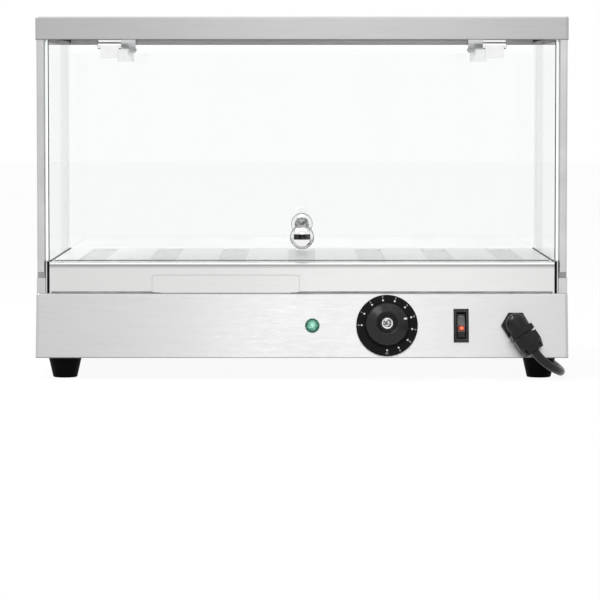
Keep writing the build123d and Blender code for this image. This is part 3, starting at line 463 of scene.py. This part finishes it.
def clear_glass(name, colour):
    """Clear glass that lets shadow rays through, with faint smears in its gloss."""
    made = Shading(name)
    smears = made.noise(14, 4, stretch=(1, 1, 0.3))
    made.surface(
        Base_Color=made.ramp(smears, scaled(colour, 0.995), colour),
        Roughness=0.0,
        IOR=1.5,
        Transmission_Weight=1.0,
    )
    through = made.node("ShaderNodeBsdfTransparent", {"Color": (*colour, 1)})
    rays = made.node("ShaderNodeLightPath").outputs
    mixed = made.node(
        "ShaderNodeMixShader",
        {0: rays["Is Shadow Ray"], 1: made.shader.outputs[0], 2: through.outputs[0]},
    )
    made.feed(made.output, {"Surface": mixed.outputs[0]})
    return made.material


def polished_chrome(name, colour=(0.9, 0.9, 0.91), roughness=0.03):
    """Chrome plating with slight unevenness."""
    made = Shading(name)
    clouds = made.noise(120, 3)
    specks = made.noise(900, 4)
    made.surface(
        Base_Color=made.ramp(clouds, scaled(colour, 0.95), colour),
        Metallic=1.0,
        Roughness=made.math("ADD", made.span(specks, 0.0, 0.03), roughness),
        Normal=made.bump(clouds, 0.02, 0.0002),
    )
    return made.material


def ball_chrome(name):
    """A door ball's chrome: a painted dark, streaked reflection band across its outer side, and a
    painted dark reflection round its rim.
    """
    made = Shading(name)
    place = made.node("ShaderNodeSeparateXYZ", {0: made.place}).outputs
    rise = made.math("SUBTRACT", place["Z"], knob_height)
    reach = made.math("SUBTRACT", made.math("ABSOLUTE", place["Y"]), door_outer + knob_reach)

    def within(value, half):
        """1 inside a half width, with a soft edge."""
        inside = made.math("SUBTRACT", half, made.math("ABSOLUTE", value))
        return made.math("MULTIPLY", inside, 1 / reflection_band_edge, clamp=True)

    # painted reflection: a dark, streaked band across the ball's outer side
    off_line = made.math("SUBTRACT", rise, reflection_band_rise)
    band = made.math("MULTIPLY", within(place["X"], reflection_band_width), within(off_line, reflection_band_height))
    band = made.math("MULTIPLY", band, made.math("GREATER_THAN", reach, 0.0))
    streaks = made.noise(420, 2, stretch=(1, 1, 0.2))
    clouds = made.noise(120, 3)
    # painted reflection: the ball darkens round its rim
    across = made.node("ShaderNodeCombineXYZ", {"X": place["X"], "Z": rise})
    radius = made.vector("LENGTH", across.outputs[0], result="Value")
    rim = made.math("SUBTRACT", radius, dark_rim_radius)
    rim = made.math("MULTIPLY", rim, 1 / dark_rim_edge, clamp=True)
    tone = made.ramp(clouds, (0.85, 0.85, 0.86), (0.9, 0.9, 0.91))
    tone = made.blend(rim, tone, (0.2, 0.2, 0.2, 1))
    tone = made.blend(band, tone, made.ramp(streaks, (0.0, 0.0, 0.0), (0.09, 0.09, 0.09)))
    made.surface(
        Base_Color=tone,
        Metallic=1.0,
        Roughness=made.span(clouds, 0.03, 0.05),
        Normal=made.bump(clouds, 0.02, 0.0002),
    )
    return made.material


def lamp_lens(name):
    """The lamp's green lens: pale in the middle, dark and cut into cells towards its rim."""
    made = Shading(name)
    centre = on_panel(lamp_x, 0, lens_middle)
    away = made.vector("DISTANCE", made.place, tuple(centre), result="Value")
    cells = made.node("ShaderNodeTexVoronoi", {"Vector": made.place, "Scale": lens_cells})
    radial = made.math("MULTIPLY", away, 1 / lens_radius)
    shade = made.ramp(radial, (0.55, 0.93, 0.77), (0.0, 0.17, 0.09), 0.0, 0.85)
    gaps = made.math("GREATER_THAN", cells.outputs["Distance"], 0.42)
    gaps = made.math("MULTIPLY", gaps, made.math("ADD", radial, 0.15), clamp=True)
    dimming = made.math("MULTIPLY", radial, 0.4)
    made.surface(
        Base_Color=made.blend(gaps, shade, (0.0, 0.07, 0.04, 1)),
        Roughness=0.1,
        Coat_Weight=0.5,
        Coat_Roughness=0.05,
        Emission_Color=(0.1, 0.55, 0.34, 1),
        Emission_Strength=made.math("SUBTRACT", 0.42, dimming, clamp=True),
        Normal=made.bump(cells.outputs["Distance"], 0.9, 0.0004),
    )
    return made.material


def lit_window(name):
    """The switch's red window, lit from behind at one spot."""
    made = Shading(name)
    centre = on_rocker(window_up, 0) + Vector((0.0005, 0, 0))
    away = made.vector("DISTANCE", made.place, tuple(centre), result="Value")
    streaks = made.noise(900, 2, stretch=(1, 1, 0.3))
    spread = made.math("MULTIPLY", away, 1 / window_glow)
    spread = made.math("ADD", spread, made.span(streaks, -0.1, 0.1))
    made.surface(
        Base_Color=made.ramp(spread, (0.6, 0.08, 0.04), (0.03, 0.004, 0.003), 0.15, 0.9),
        Roughness=0.2,
        Specular_IOR_Level=0.2,
        Emission_Color=made.ramp(spread, (1.0, 0.3, 0.16), (0.16, 0.006, 0.004), 0.05, 0.8),
        Emission_Strength=0.9,
    )
    return made.material


def rocker_plastic(name, face, painted_shade_colour):
    """The rocker's plastic, with painted shade: dark on the half that faces down."""
    made = Shading(name)
    normal = made.node("ShaderNodeSeparateXYZ", {0: made.coordinates.outputs["Normal"]})
    # painted shade on the faces that point down
    shaded_half = made.math("LESS_THAN", normal.outputs["Z"], 0.05)
    clouds = made.noise(200, 3)
    shade = made.ramp(clouds, scaled(face, 0.85), scaled(face, 1.1))
    made.surface(
        Base_Color=made.blend(shaded_half, shade, (*painted_shade_colour, 1)),
        Roughness=made.span(clouds, 0.25, 0.35),
        Specular_IOR_Level=0.3,
        Normal=made.bump(made.noise(1500, 3), 0.04, 0.0001),
    )
    return made.material


def mottled_metal(name):
    """The cap's sunken face: bright metal with dark, irregular marks."""
    made = Shading(name)
    marks = made.noise(420, 3)
    made.surface(
        Base_Color=made.ramp(marks, (0.03, 0.03, 0.03), (0.5, 0.5, 0.5), 0.42, 0.6),
        Metallic=0.9,
        Roughness=made.span(marks, 0.5, 0.25),
        Normal=made.bump(marks, 0.3, 0.0003),
    )
    return made.material


def ground_glass(name):
    """The pale, ground edge of a pane, with a faint painted glow."""
    made = Shading(name)
    grit = made.noise(1800, 3)
    made.surface(
        Base_Color=made.ramp(grit, (0.86, 0.93, 0.9), (0.93, 0.97, 0.95)),
        Roughness=0.55,
        # painted light: a faint glow, though the edge is no lamp
        Emission_Color=(0.9, 1.0, 0.96, 1),
        Emission_Strength=0.12,
        Normal=made.bump(grit, 0.2, 0.0001),
    )
    return made.material


def mineral_wool(name, colour):
    """Loose fibres laid along the sheet."""
    made = Shading(name)
    fibres = made.noise(300, 6, stretch=(0.3, 1, 1))
    made.surface(
        Base_Color=made.ramp(fibres, scaled(colour, 0.7), scaled(colour, 1.15)),
        Roughness=0.95,
        Normal=made.bump(fibres, 0.8, 0.001),
    )
    return made.material


def rubber(name, colour, roughness, scale=500, gloss=0.2):
    """Rubber with a fine bloom on it."""
    made = Shading(name)
    bloom = made.noise(scale, 5)
    patches = made.noise(40, 3)
    made.surface(
        Base_Color=made.ramp(patches, scaled(colour, 0.8), scaled(colour, 1.6)),
        Roughness=made.math("ADD", made.span(bloom, -0.05, 0.06), roughness),
        Specular_IOR_Level=gloss,
        Normal=made.bump(bloom, 0.15, 0.0001),
    )
    return made.material


def printed(name, colour):
    """Print, a little worn."""
    made = Shading(name)
    wear = made.noise(2500, 4)
    made.surface(Base_Color=made.ramp(wear, scaled(colour, 0.85), colour), Roughness=0.5)
    return made.material


def make_materials():
    """A material for each of the record's slots, and a few of the scene's own."""
    return {
        "housing_steel": brushed_metal(
            "housing_steel", (0.535, 0.535, 0.535), 0.33, hem_height, 0.025
        ),
        # the cover's steel is a darker copy of the housing's: painted shade against the lamps'
        # glare on the top
        "cover_steel_shaded": brushed_metal("cover_steel_shaded", (0.45, 0.45, 0.45), 0.36, cover_hem, 0.03),
        "deck_steel": brushed_metal(
            "deck_steel",
            (0.69, 0.69, 0.685),
            0.33,
            bend_height,
            0.015,
            # painted light on the deck's upward faces: its level top, and its grooves' floors
            painted_top_colours=[(0.91, 0.91, 0.91), (0.74, 0.74, 0.74)],
        ),
        "frame_metal": satin_metal("frame_metal", (0.58, 0.58, 0.58), 0.38),
        "seat_plastic": moulded_plastic("seat_plastic", (0.28, 0.28, 0.28), 0.5, gloss=0.4),
        "glass": clear_glass("glass", (0.975, 0.989, 0.983)),
        "gasket_rubber": rubber("gasket_rubber", (0.004, 0.004, 0.004), 0.5, gloss=0.06),
        "foot_rubber": rubber("foot_rubber", (0.002, 0.002, 0.002), 0.5, gloss=0.03),
        "chrome": polished_chrome("chrome"),
        "ball_chrome": ball_chrome("ball_chrome"),
        "fixing_steel": satin_metal("fixing_steel", (0.5, 0.5, 0.5), 0.4, 1500),
        "dial_black": moulded_plastic("dial_black", (0.005, 0.005, 0.005), 0.4, gloss=0.08),
        "knob_black": moulded_plastic("knob_black", (0.006, 0.006, 0.006), 0.37, 0.06, gloss=0.33),
        "gland_black": moulded_plastic(
            "gland_black", (0.004, 0.004, 0.004), 0.36, 0.2, 900, gloss=0.28
        ),
        "switch_black": moulded_plastic(
            "switch_black", (0.028, 0.028, 0.029), 0.32, 0.05, gloss=0.15
        ),
        "rocker_grey": rocker_plastic("rocker_grey", (0.14, 0.14, 0.14), (0.012, 0.012, 0.012)),
        "lamp_green": lamp_lens("lamp_green"),
        "body_plastic": moulded_plastic("body_plastic", (0.5, 0.48, 0.42), 0.5, lift=1.08),
        "heater_metal": satin_metal("heater_metal", (0.35, 0.34, 0.32), 0.5),
        "insulation": mineral_wool("insulation", (0.7, 0.67, 0.58)),
        "copper": satin_metal("copper", (0.75, 0.42, 0.25), 0.35),
        "wire_insulation": moulded_plastic("wire_insulation", (0.4, 0.25, 0.12), 0.5),
        "cable_rubber": rubber("cable_rubber", (0.01, 0.01, 0.01), 0.36, 350, 0.22),
        "plug_plastic": moulded_plastic("plug_plastic", (0.014, 0.014, 0.014), 0.42),
        "pin_metal": satin_metal("pin_metal", (0.68, 0.67, 0.63), 0.2, 1200),
        "dot_white": printed("dot_white", (0.9, 0.9, 0.9)),
        "figure_grey": printed("figure_grey", (0.42, 0.42, 0.42)),
        "worn_steel": worn_metal("worn_steel", (0.07, 0.07, 0.07), (0.6, 0.6, 0.6)),
        "cap_face": mottled_metal("cap_face"),
        "window_red": lit_window("window_red"),
        "ground_edge": ground_glass("ground_edge"),
        "edge_shadow": moulded_plastic("edge_shadow", (0.16, 0.18, 0.17), 0.4),
    }


def finish_mesh(name, mesh, body, material, replaced=(), sharp=35.0):
    """Make an object of a bmesh, shade it smooth between sharp edges, and hang it on a body."""
    bmesh.ops.recalc_face_normals(mesh, faces=mesh.faces)
    limit = math.radians(sharp)
    for face in mesh.faces:
        face.smooth = True
    for edge in mesh.edges:
        edge.smooth = edge.calc_face_angle(0.0) < limit
    data = bpy.data.meshes.new(name)
    mesh.to_mesh(data)
    mesh.free()
    made = bpy.data.objects.new(name, data)
    scene.collection.objects.link(made)
    data.materials.append(materials[material])
    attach(made, body)
    if replaced:
        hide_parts(*replaced)


def turned(mesh, profile, place, axis, segments=96):
    """Add a turned form: (radius, height) pairs swept round an axis."""
    turn = axis.to_track_quat("Z", "Y").to_matrix()
    rings = []
    for radius, height in profile:
        count = segments if radius > 1e-7 else 1
        ring = []
        for step in range(count):
            angle = math.tau * step / segments
            local = Vector((radius * math.cos(angle), radius * math.sin(angle), height))
            ring.append(mesh.verts.new(place + turn @ local))
        rings.append(ring)
    for lower, upper in zip(rings, rings[1:]):
        for step in range(segments):
            after = step + 1
            corners = [lower[step % len(lower)], lower[after % len(lower)]]
            corners += [upper[after % len(upper)], upper[step % len(upper)]]
            corners = list(dict.fromkeys(corners))
            if len(corners) > 2:
                mesh.faces.new(corners)
    for ring in (rings[0], rings[-1]):
        if len(ring) > 2:
            mesh.faces.new(ring)


def in_mm(profile):
    """A profile given in millimetres."""
    return [(radius * mm, height * mm) for radius, height in profile]


def arc(centre, radius, start, end, steps):
    """Points of an arc in a profile, angles in degrees."""
    points = []
    for step in range(steps + 1):
        angle = math.radians(start + (end - start) * step / steps)
        points.append((centre[0] + radius * math.cos(angle), centre[1] + radius * math.sin(angle)))
    return points


def on_panel(x, up, out):
    """A point by its place on the panel, from the controls' line."""
    return controls_line + Vector((x, 0, 0)) + panel_up * up + panel_out * out


def polar_on_panel(centre_x, angle, radius, out):
    """A point round a control's axis."""
    return on_panel(centre_x + radius * math.cos(angle), radius * math.sin(angle), out)


def on_rocker(up, lift):
    """The rocker's upper face: a point by its height over the controls' line."""
    low = rocker_low * mm
    high = rocker_high * mm
    slope = (high - low).normalized()
    share = (up - low.x) / (high.x - low.x)
    face = low + (high - low) * share
    return on_panel(switch_x, face.x - slope.y * lift, face.y + slope.x * lift)


def disc(mesh, centre, right, up, half_width, half_height, thickness, steps=24):
    """Add a thin oval plate with a bevelled edge, its back at centre."""
    out = right.cross(up)
    outlines = []
    for share, lift in ((1.0, 0.0), (1.0, 0.6), (0.86, 1.0)):
        outline = []
        for step in range(steps):
            angle = math.tau * step / steps
            point = centre + right * (half_width * share * math.cos(angle))
            point += up * (half_height * share * math.sin(angle)) + out * (thickness * lift)
            outline.append(mesh.verts.new(point))
        outlines.append(outline)
    for lower, upper in zip(outlines, outlines[1:]):
        for step in range(steps):
            after = (step + 1) % steps
            mesh.faces.new((lower[step], lower[after], upper[after], upper[step]))
    mesh.faces.new(outlines[0])
    mesh.faces.new(outlines[-1])


def block(mesh, centre, right, up, half_width, half_height, thickness):
    """Add a thin plate with a bevelled edge, its back at centre."""
    out = right.cross(up)
    loops = []
    for inset, lift in ((0.0, 0.0), (0.0, 0.5), (0.6, 1.0)):
        wide = half_width - thickness * inset
        high = half_height - thickness * inset
        loops.append(
            [
                mesh.verts.new(centre + right * wide * sx + up * high * sy + out * thickness * lift)
                for sx, sy in ((-1, -1), (1, -1), (1, 1), (-1, 1))
            ]
        )
    for lower, upper in zip(loops, loops[1:]):
        for step in range(4):
            after = (step + 1) % 4
            mesh.faces.new((lower[step], lower[after], upper[after], upper[step]))
    mesh.faces.new(loops[0])
    mesh.faces.new(loops[-1])


def bridge(mesh, lower, upper):
    """Triangles between two closed rings of corners."""
    lower_at = 0
    upper_at = 0
    while lower_at < len(lower) or upper_at < len(upper):
        if lower_at / len(lower) <= upper_at / len(upper) and lower_at < len(lower):
            corners = (lower[lower_at], lower[(lower_at + 1) % len(lower)])
            mesh.faces.new((*corners, upper[upper_at % len(upper)]))
            lower_at += 1
        else:
            corners = (upper[(upper_at + 1) % len(upper)], upper[upper_at])
            mesh.faces.new((*corners, lower[lower_at % len(lower)]))
            upper_at += 1


def add_text(mesh, words, centre, right, up, size, thickness):
    """Add raised figures, centred on a point."""
    font = bpy.data.curves.new("figures", "FONT")
    font.body = words
    font.size = size
    font.align_x = "CENTER"
    font.align_y = "CENTER"
    font.extrude = thickness / 2
    font.offset = size * 0.012
    figure = bpy.data.objects.new("figures", font)
    scene.collection.objects.link(figure)
    bpy.context.view_layer.update()
    depsgraph = bpy.context.evaluated_depsgraph_get()
    data = bpy.data.meshes.new_from_object(figure.evaluated_get(depsgraph))
    out = right.cross(up)
    turn = Matrix((right, up, out)).transposed().to_4x4()
    data.transform(Matrix.Translation(centre + out * thickness / 2) @ turn)
    mesh.from_mesh(data)
    bpy.data.objects.remove(figure)
    bpy.data.meshes.remove(data)


def make_dial_print():
    """The dots and figures on the scale ring."""
    dots = bmesh.new()
    figures = bmesh.new()
    for mark in range(mark_count):
        angle = math.pi - mark * mark_step
        right = polar_on_panel(0, angle - math.pi / 2, 1, 0) - controls_line
        outward = polar_on_panel(0, angle, 1, 0) - controls_line
        dot = polar_on_panel(dial_x, angle, dot_ring, dial_thickness)
        disc(dots, dot, right, outward, dot_radius, dot_radius, print_thickness)
        place = polar_on_panel(dial_x, angle, number_ring, dial_thickness)
        add_text(figures, str(mark), place, right, outward, number_size, print_thickness)
    finish_mesh("dial_dots", dots, "case", "dot_white")
    finish_mesh("dial_figures", figures, "case", "figure_grey")


def make_thermostat_knob():
    """The turning knob, its pointer and its cap."""
    axis_foot = on_panel(dial_x, 0, 0)
    mesh = bmesh.new()
    profile = [(spindle_bore, 4.3), (22.6, 4.3), (23.0, 4.7), (22.95, 5.6)]
    profile += [(21.85, 11.4), (21.5, 12.3), cone_foot, cone_top]
    profile += [(12.6, 20.8), (12.2, 21.0), (11.8, 20.95), (11.4, 20.7)]
    profile += [(10.4, 19.2), (8.8, 17.2), (7.4, 16.05), (spindle_bore, cap_seat)]
    turned(mesh, in_mm(profile), axis_foot, panel_out)
    finish_mesh(
        "thermostat_knob_turned",
        mesh,
        "thermostat_dial",
        "knob_black",
        ["thermostat_knob"],
    )
    # the pointer lies on the cone, near its edge
    slope = Vector((cone_foot[0] - cone_top[0], 0, cone_foot[1] - cone_top[1])).normalized()
    radial = polar_on_panel(0, pointer_angle, 1, 0) - controls_line
    along = radial * slope.x + panel_out * slope.z
    across = along.cross(radial * -slope.z + panel_out * slope.x)
    place = polar_on_panel(dial_x, pointer_angle, *pointer_place)
    mesh = bmesh.new()
    disc(mesh, place, along, across * -1, *pointer_size)
    finish_mesh("thermostat_pointer", mesh, "thermostat_dial", "dot_white")
    # cap: a rolled rim round a sunken, generic turned face
    mesh = bmesh.new()
    profile = [(0.0, cap_seat), (5.8, cap_seat), (5.8, 17.3)]
    profile += arc((5.25, 17.4), 0.55, 0, 120, 8)
    profile += [(4.75, 17.5), (4.6, cap_sink), (0.0, cap_sink)]
    turned(mesh, in_mm(profile), axis_foot, panel_out, segments=64)
    finish_mesh("knob_cap_turned", mesh, "thermostat_dial", "chrome", ["knob_cap"])
    mesh = bmesh.new()
    profile = [(0.0, cap_sink), (4.5, cap_sink), (4.4, 17.35), (2.8, 17.45), (2.0, 17.3)]
    profile += [(1.2, 17.4), (0.6, 17.15), (0.0, 17.15)]
    turned(mesh, in_mm(profile), axis_foot, panel_out, segments=64)
    finish_mesh("knob_cap_face", mesh, "thermostat_dial", "cap_face")


def make_lamp():
    """The pilot lamp's cut lens in its rim."""
    foot = on_panel(lamp_x, 0, 0)
    mesh = bmesh.new()
    rim = [(6.2, 0.0), (7.5, 0.0), (7.5, 1.2), (7.15, 1.6), (6.55, 1.7), (6.2, 1.3)]
    turned(mesh, in_mm(rim + rim[:1]), foot, panel_out, segments=64)
    # cut faces, each ring turned half a step from the one under it
    rings = [(6.3, 1.2, 16), (5.6, 2.3, 16), (4.3, 2.9, 16), (2.9, 3.35, 8), (1.2, 3.55, 8)]
    previous = None
    for index, (radius, out, count) in enumerate(rings):
        phase = index * math.pi / 16
        ring = [
            mesh.verts.new(
                polar_on_panel(lamp_x, phase + math.tau * step / count, radius * mm, out * mm)
            )
            for step in range(count)
        ]
        if previous is not None:
            bridge(mesh, previous, ring)
        previous = ring
    mesh.faces.new(previous)
    finish_mesh("pilot_lens_cut", mesh, "case", "lamp_green", ["pilot_lens"], 4.0)


def make_rocker_marks():
    """The lit window and the ON dash on the rocker's upper face."""
    right = Vector((1, 0, 0))
    along = (on_rocker(0.005, 0) - on_rocker(0, 0)).normalized()
    mesh = bmesh.new()
    block(mesh, on_rocker(window_up, 0), right, along, *window_size)
    finish_mesh("rocker_window", mesh, "rocker", "window_red")
    mesh = bmesh.new()
    block(mesh, on_rocker(dash_up, 0), right, along, *dash_size)
    finish_mesh("rocker_dash", mesh, "rocker", "figure_grey")


def make_door_knob(door, side):
    """A turned ball knob outside a door, and the cross in its screw inside."""
    foot = Vector((0, side * door_outer, knob_height))
    mesh = bmesh.new()
    flange = [(0.0, 0.0), (8.0, 0.0), (8.0, 1.1), (7.7, 1.5), (6.6, 2.1), (5.5, 3.2), (4.8, 5.0)]
    profile = in_mm(flange) + [(stem_radius, 0.008), (stem_radius, 0.0148)]
    neck = math.degrees(math.asin(stem_radius / ball_radius)) - 90
    profile += arc((0.0, knob_reach), ball_radius, neck, 90, ball_steps)
    profile[-1] = (0.0, knob_reach + ball_radius)
    turned(mesh, profile, foot, Vector((0, side, 0)), segments=128)
    body = door + "_door"
    finish_mesh(
        door + "_knob_turned", mesh, body, "ball_chrome", [door + "_knob"], 50.0
    )
    head = Vector((0, side * (door_inner - screw_head), knob_height))
    inwards = Vector((0, -side, 0))
    mesh = bmesh.new()
    for turn in (cross_turn, cross_turn + math.pi / 2):
        right = Vector((math.cos(turn), 0, math.sin(turn)))
        block(mesh, head, right, inwards.cross(right), *cross_size)
    finish_mesh(door + "_screw_cross", mesh, body, "gland_black")


def box_piece(name, low, high, body, material):
    """A thin strip between two corners, its long edges eased."""
    mesh = bmesh.new()
    bmesh.ops.create_cube(mesh, size=1.0)
    middle = (Vector(low) + Vector(high)) / 2
    span = Vector(high) - Vector(low)
    for corner in mesh.verts:
        corner.co = middle + Vector(corner.co[axis] * span[axis] for axis in range(3))
    ease = min(span) * 0.2
    bmesh.ops.bevel(mesh, geom=mesh.edges[:], offset=ease, segments=2, affect="EDGES")
    finish_mesh(name, mesh, body, material)


def make_glass_edges():
    """The ground ends of the side panes, and a dark strip of painted shadow under the front door's
    lower edge.
    """
    for side, node in ((-1, "side_pane_left"), (1, "side_pane_right")):
        low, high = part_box(node)
        for end, name in ((-1, "front"), (1, "rear")):
            face = low.y if end < 0 else high.y
            strip = sorted((face, face + end * ground_thickness))
            outer = low.x if side < 0 else high.x
            across = sorted((outer, outer - side * ground_width))
            box_piece(
                node + "_edge_" + name,
                (across[0], strip[0], low.z),
                (across[1], strip[1], high.z),
                "case",
                "ground_edge",
            )
    # painted shadow: a dark strip under the front door's glass
    low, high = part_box("front_door_glass")
    box_piece(
        "front_door_gap_shadow",
        (low.x + door_shadow_inset, low.y, low.z - door_shadow_depth),
        (high.x - door_shadow_inset, high.y, low.z),
        "front_door",
        "edge_shadow",
    )


def make_gasket_trims():
    """Folded metal edges over the sides of the rubber's ends."""
    low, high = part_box("lower_gaskets")
    trims = [
        ("outer", high.x - outer_trim, high.x, "frame_metal"),
        ("inner", high.x - gasket_width, high.x - gasket_width + inner_trim, "deck_steel"),
    ]
    for end, face in (("front", low.y), ("rear", high.y)):
        depth = sorted((face, face + trim_thickness * (1 if face > 0 else -1)))
        for side, hand in ((-1, "left"), (1, "right")):
            for name, near, far, material in trims:
                across = sorted((side * near, side * far))
                box_piece(
                    "_".join(("gasket_trim", end, hand, name)),
                    (across[0], depth[0], low.z),
                    (across[1], depth[1], high.z),
                    "case",
                    material,
                )


def make_drawer_stop():
    """A frame behind the drawer's front, clear of its tray, that it closes against."""
    low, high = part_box("drawer_front")
    back = high.y + stop_clearance
    strips = {
        "left": (low.x - stop_lap, low.x + stop_lap, low.z, high.z),
        "right": (high.x - stop_lap, high.x + stop_lap, low.z, high.z),
        "top": (low.x, high.x, high.z - stop_lap, high.z + stop_lap),
    }
    for name, (left, right, bottom, top) in strips.items():
        box_piece(
            "drawer_stop_" + name,
            (left, back, bottom),
            (right, back + stop_thickness, top),
            "case",
            "frame_metal",
        )


def make_apron_seals():
    """Grey sealant in the gap between the aprons and the base, clear of the drawer."""
    low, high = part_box("deck_plate")
    drawer_low, drawer_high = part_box("drawer_front")
    base_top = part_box("base_housing")[1].z
    spans = [
        ("left", -1, low.x, drawer_low.x - seal_clearance),
        ("right", -1, drawer_high.x + seal_clearance, high.x),
        ("rear", 1, low.x, high.x),
    ]
    for name, side, start, end in spans:
        face = sorted((side * (high.y - seal_setback), side * (high.y - seal_reach)))
        box_piece(
            "apron_seal_" + name,
            (start, face[0], base_top),
            (end, face[1], base_top + apron_gap),
            "case",
            "seat_plastic",
        )


def dress_nodes():
    """Give each CAD node that stays the material of its slot."""
    slots = {row["node"]: row["material_slot"] for row in frame["record"]["subparts"]}
    for name, node in frame["nodes"].items():
        wanted = slots[name]
        if name.endswith("_knob_screw"):
            wanted = "worn_steel"
        # the top cover takes the darker copy of the steel, painted shade
        if name == "top_cover":
            wanted = "cover_steel_shaded"
        for holder in node.material_slots:
            holder.material = materials[wanted]


def area_light(name, place, target, width, height, power):
    """A soft box aimed at a point."""
    data = bpy.data.lights.new(name, "AREA")
    data.shape = "RECTANGLE"
    data.size = width
    data.size_y = height
    data.energy = power
    light = bpy.data.objects.new(name, data)
    scene.collection.objects.link(light)
    light.location = place
    aim = Vector(target) - Vector(place)
    light.rotation_euler = aim.to_track_quat("-Z", "Y").to_euler()
    return light


def stage_plane(name, corners, material):
    """A flat piece of the studio."""
    data = bpy.data.meshes.new(name)
    data.from_pydata(corners, [], [tuple(range(len(corners)))])
    made = bpy.data.objects.new(name, data)
    scene.collection.objects.link(made)
    data.materials.append(material)


def light_world(fill):
    """White where it is seen, softer where it lights."""
    world = bpy.data.worlds.new("studio")
    scene.world = world
    world.use_nodes = True
    tree = world.node_tree
    rays = tree.nodes.new("ShaderNodeLightPath").outputs
    first = tree.nodes.new("ShaderNodeMath")
    tree.links.new(rays["Is Camera Ray"], first.inputs[0])
    tree.links.new(rays["Is Glossy Ray"], first.inputs[1])
    second = tree.nodes.new("ShaderNodeMath")
    second.use_clamp = True
    tree.links.new(first.outputs[0], second.inputs[0])
    tree.links.new(rays["Is Transmission Ray"], second.inputs[1])
    level = tree.nodes.new("ShaderNodeMath")
    level.operation = "MULTIPLY_ADD"
    tree.links.new(second.outputs[0], level.inputs[0])
    level.inputs[1].default_value = 1.0 - fill
    level.inputs[2].default_value = fill
    background = tree.nodes["Background"]
    background.inputs["Color"].default_value = (1, 1, 1, 1)
    tree.links.new(level.outputs[0], background.inputs["Strength"])


def make_stage():
    """White floor and soft boxes."""
    light_world(world_fill)
    made = Shading("floor")
    grain = made.noise(40, 4)
    made.surface(Base_Color=made.ramp(grain, (0.9, 0.9, 0.9), (0.92, 0.92, 0.92)), Roughness=0.9)
    glow = made.node("ShaderNodeEmission", {"Color": (1, 1, 1, 1), "Strength": 1.0})
    share = made.math("MULTIPLY", made.seen(), floor_seen)
    mixed = made.node(
        "ShaderNodeMixShader", {0: share, 1: made.shader.outputs[0], 2: glow.outputs[0]}
    )
    made.feed(made.output, {"Surface": mixed.outputs[0]})
    turns = ((-1, -1), (1, -1), (1, 1), (-1, 1))
    corners = [(sx * floor_reach, sy * floor_reach, 0) for sx, sy in turns]
    stage_plane("floor", corners, made.material)

    made_lamps = {name: area_light(name, *lamp) for name, lamp in lamps.items()}
    made_lamps["low"].visible_camera = False


place_camera()
cord = make_cord()
materials = make_materials()
cord.data.materials.append(materials["cable_rubber"])
dress_nodes()
make_dial_print()
make_thermostat_knob()
make_lamp()
make_rocker_marks()
for door, side in door_faces.items():
    make_door_knob(door, side)
make_glass_edges()
make_gasket_trims()
make_drawer_stop()
make_apron_seals()
make_stage()
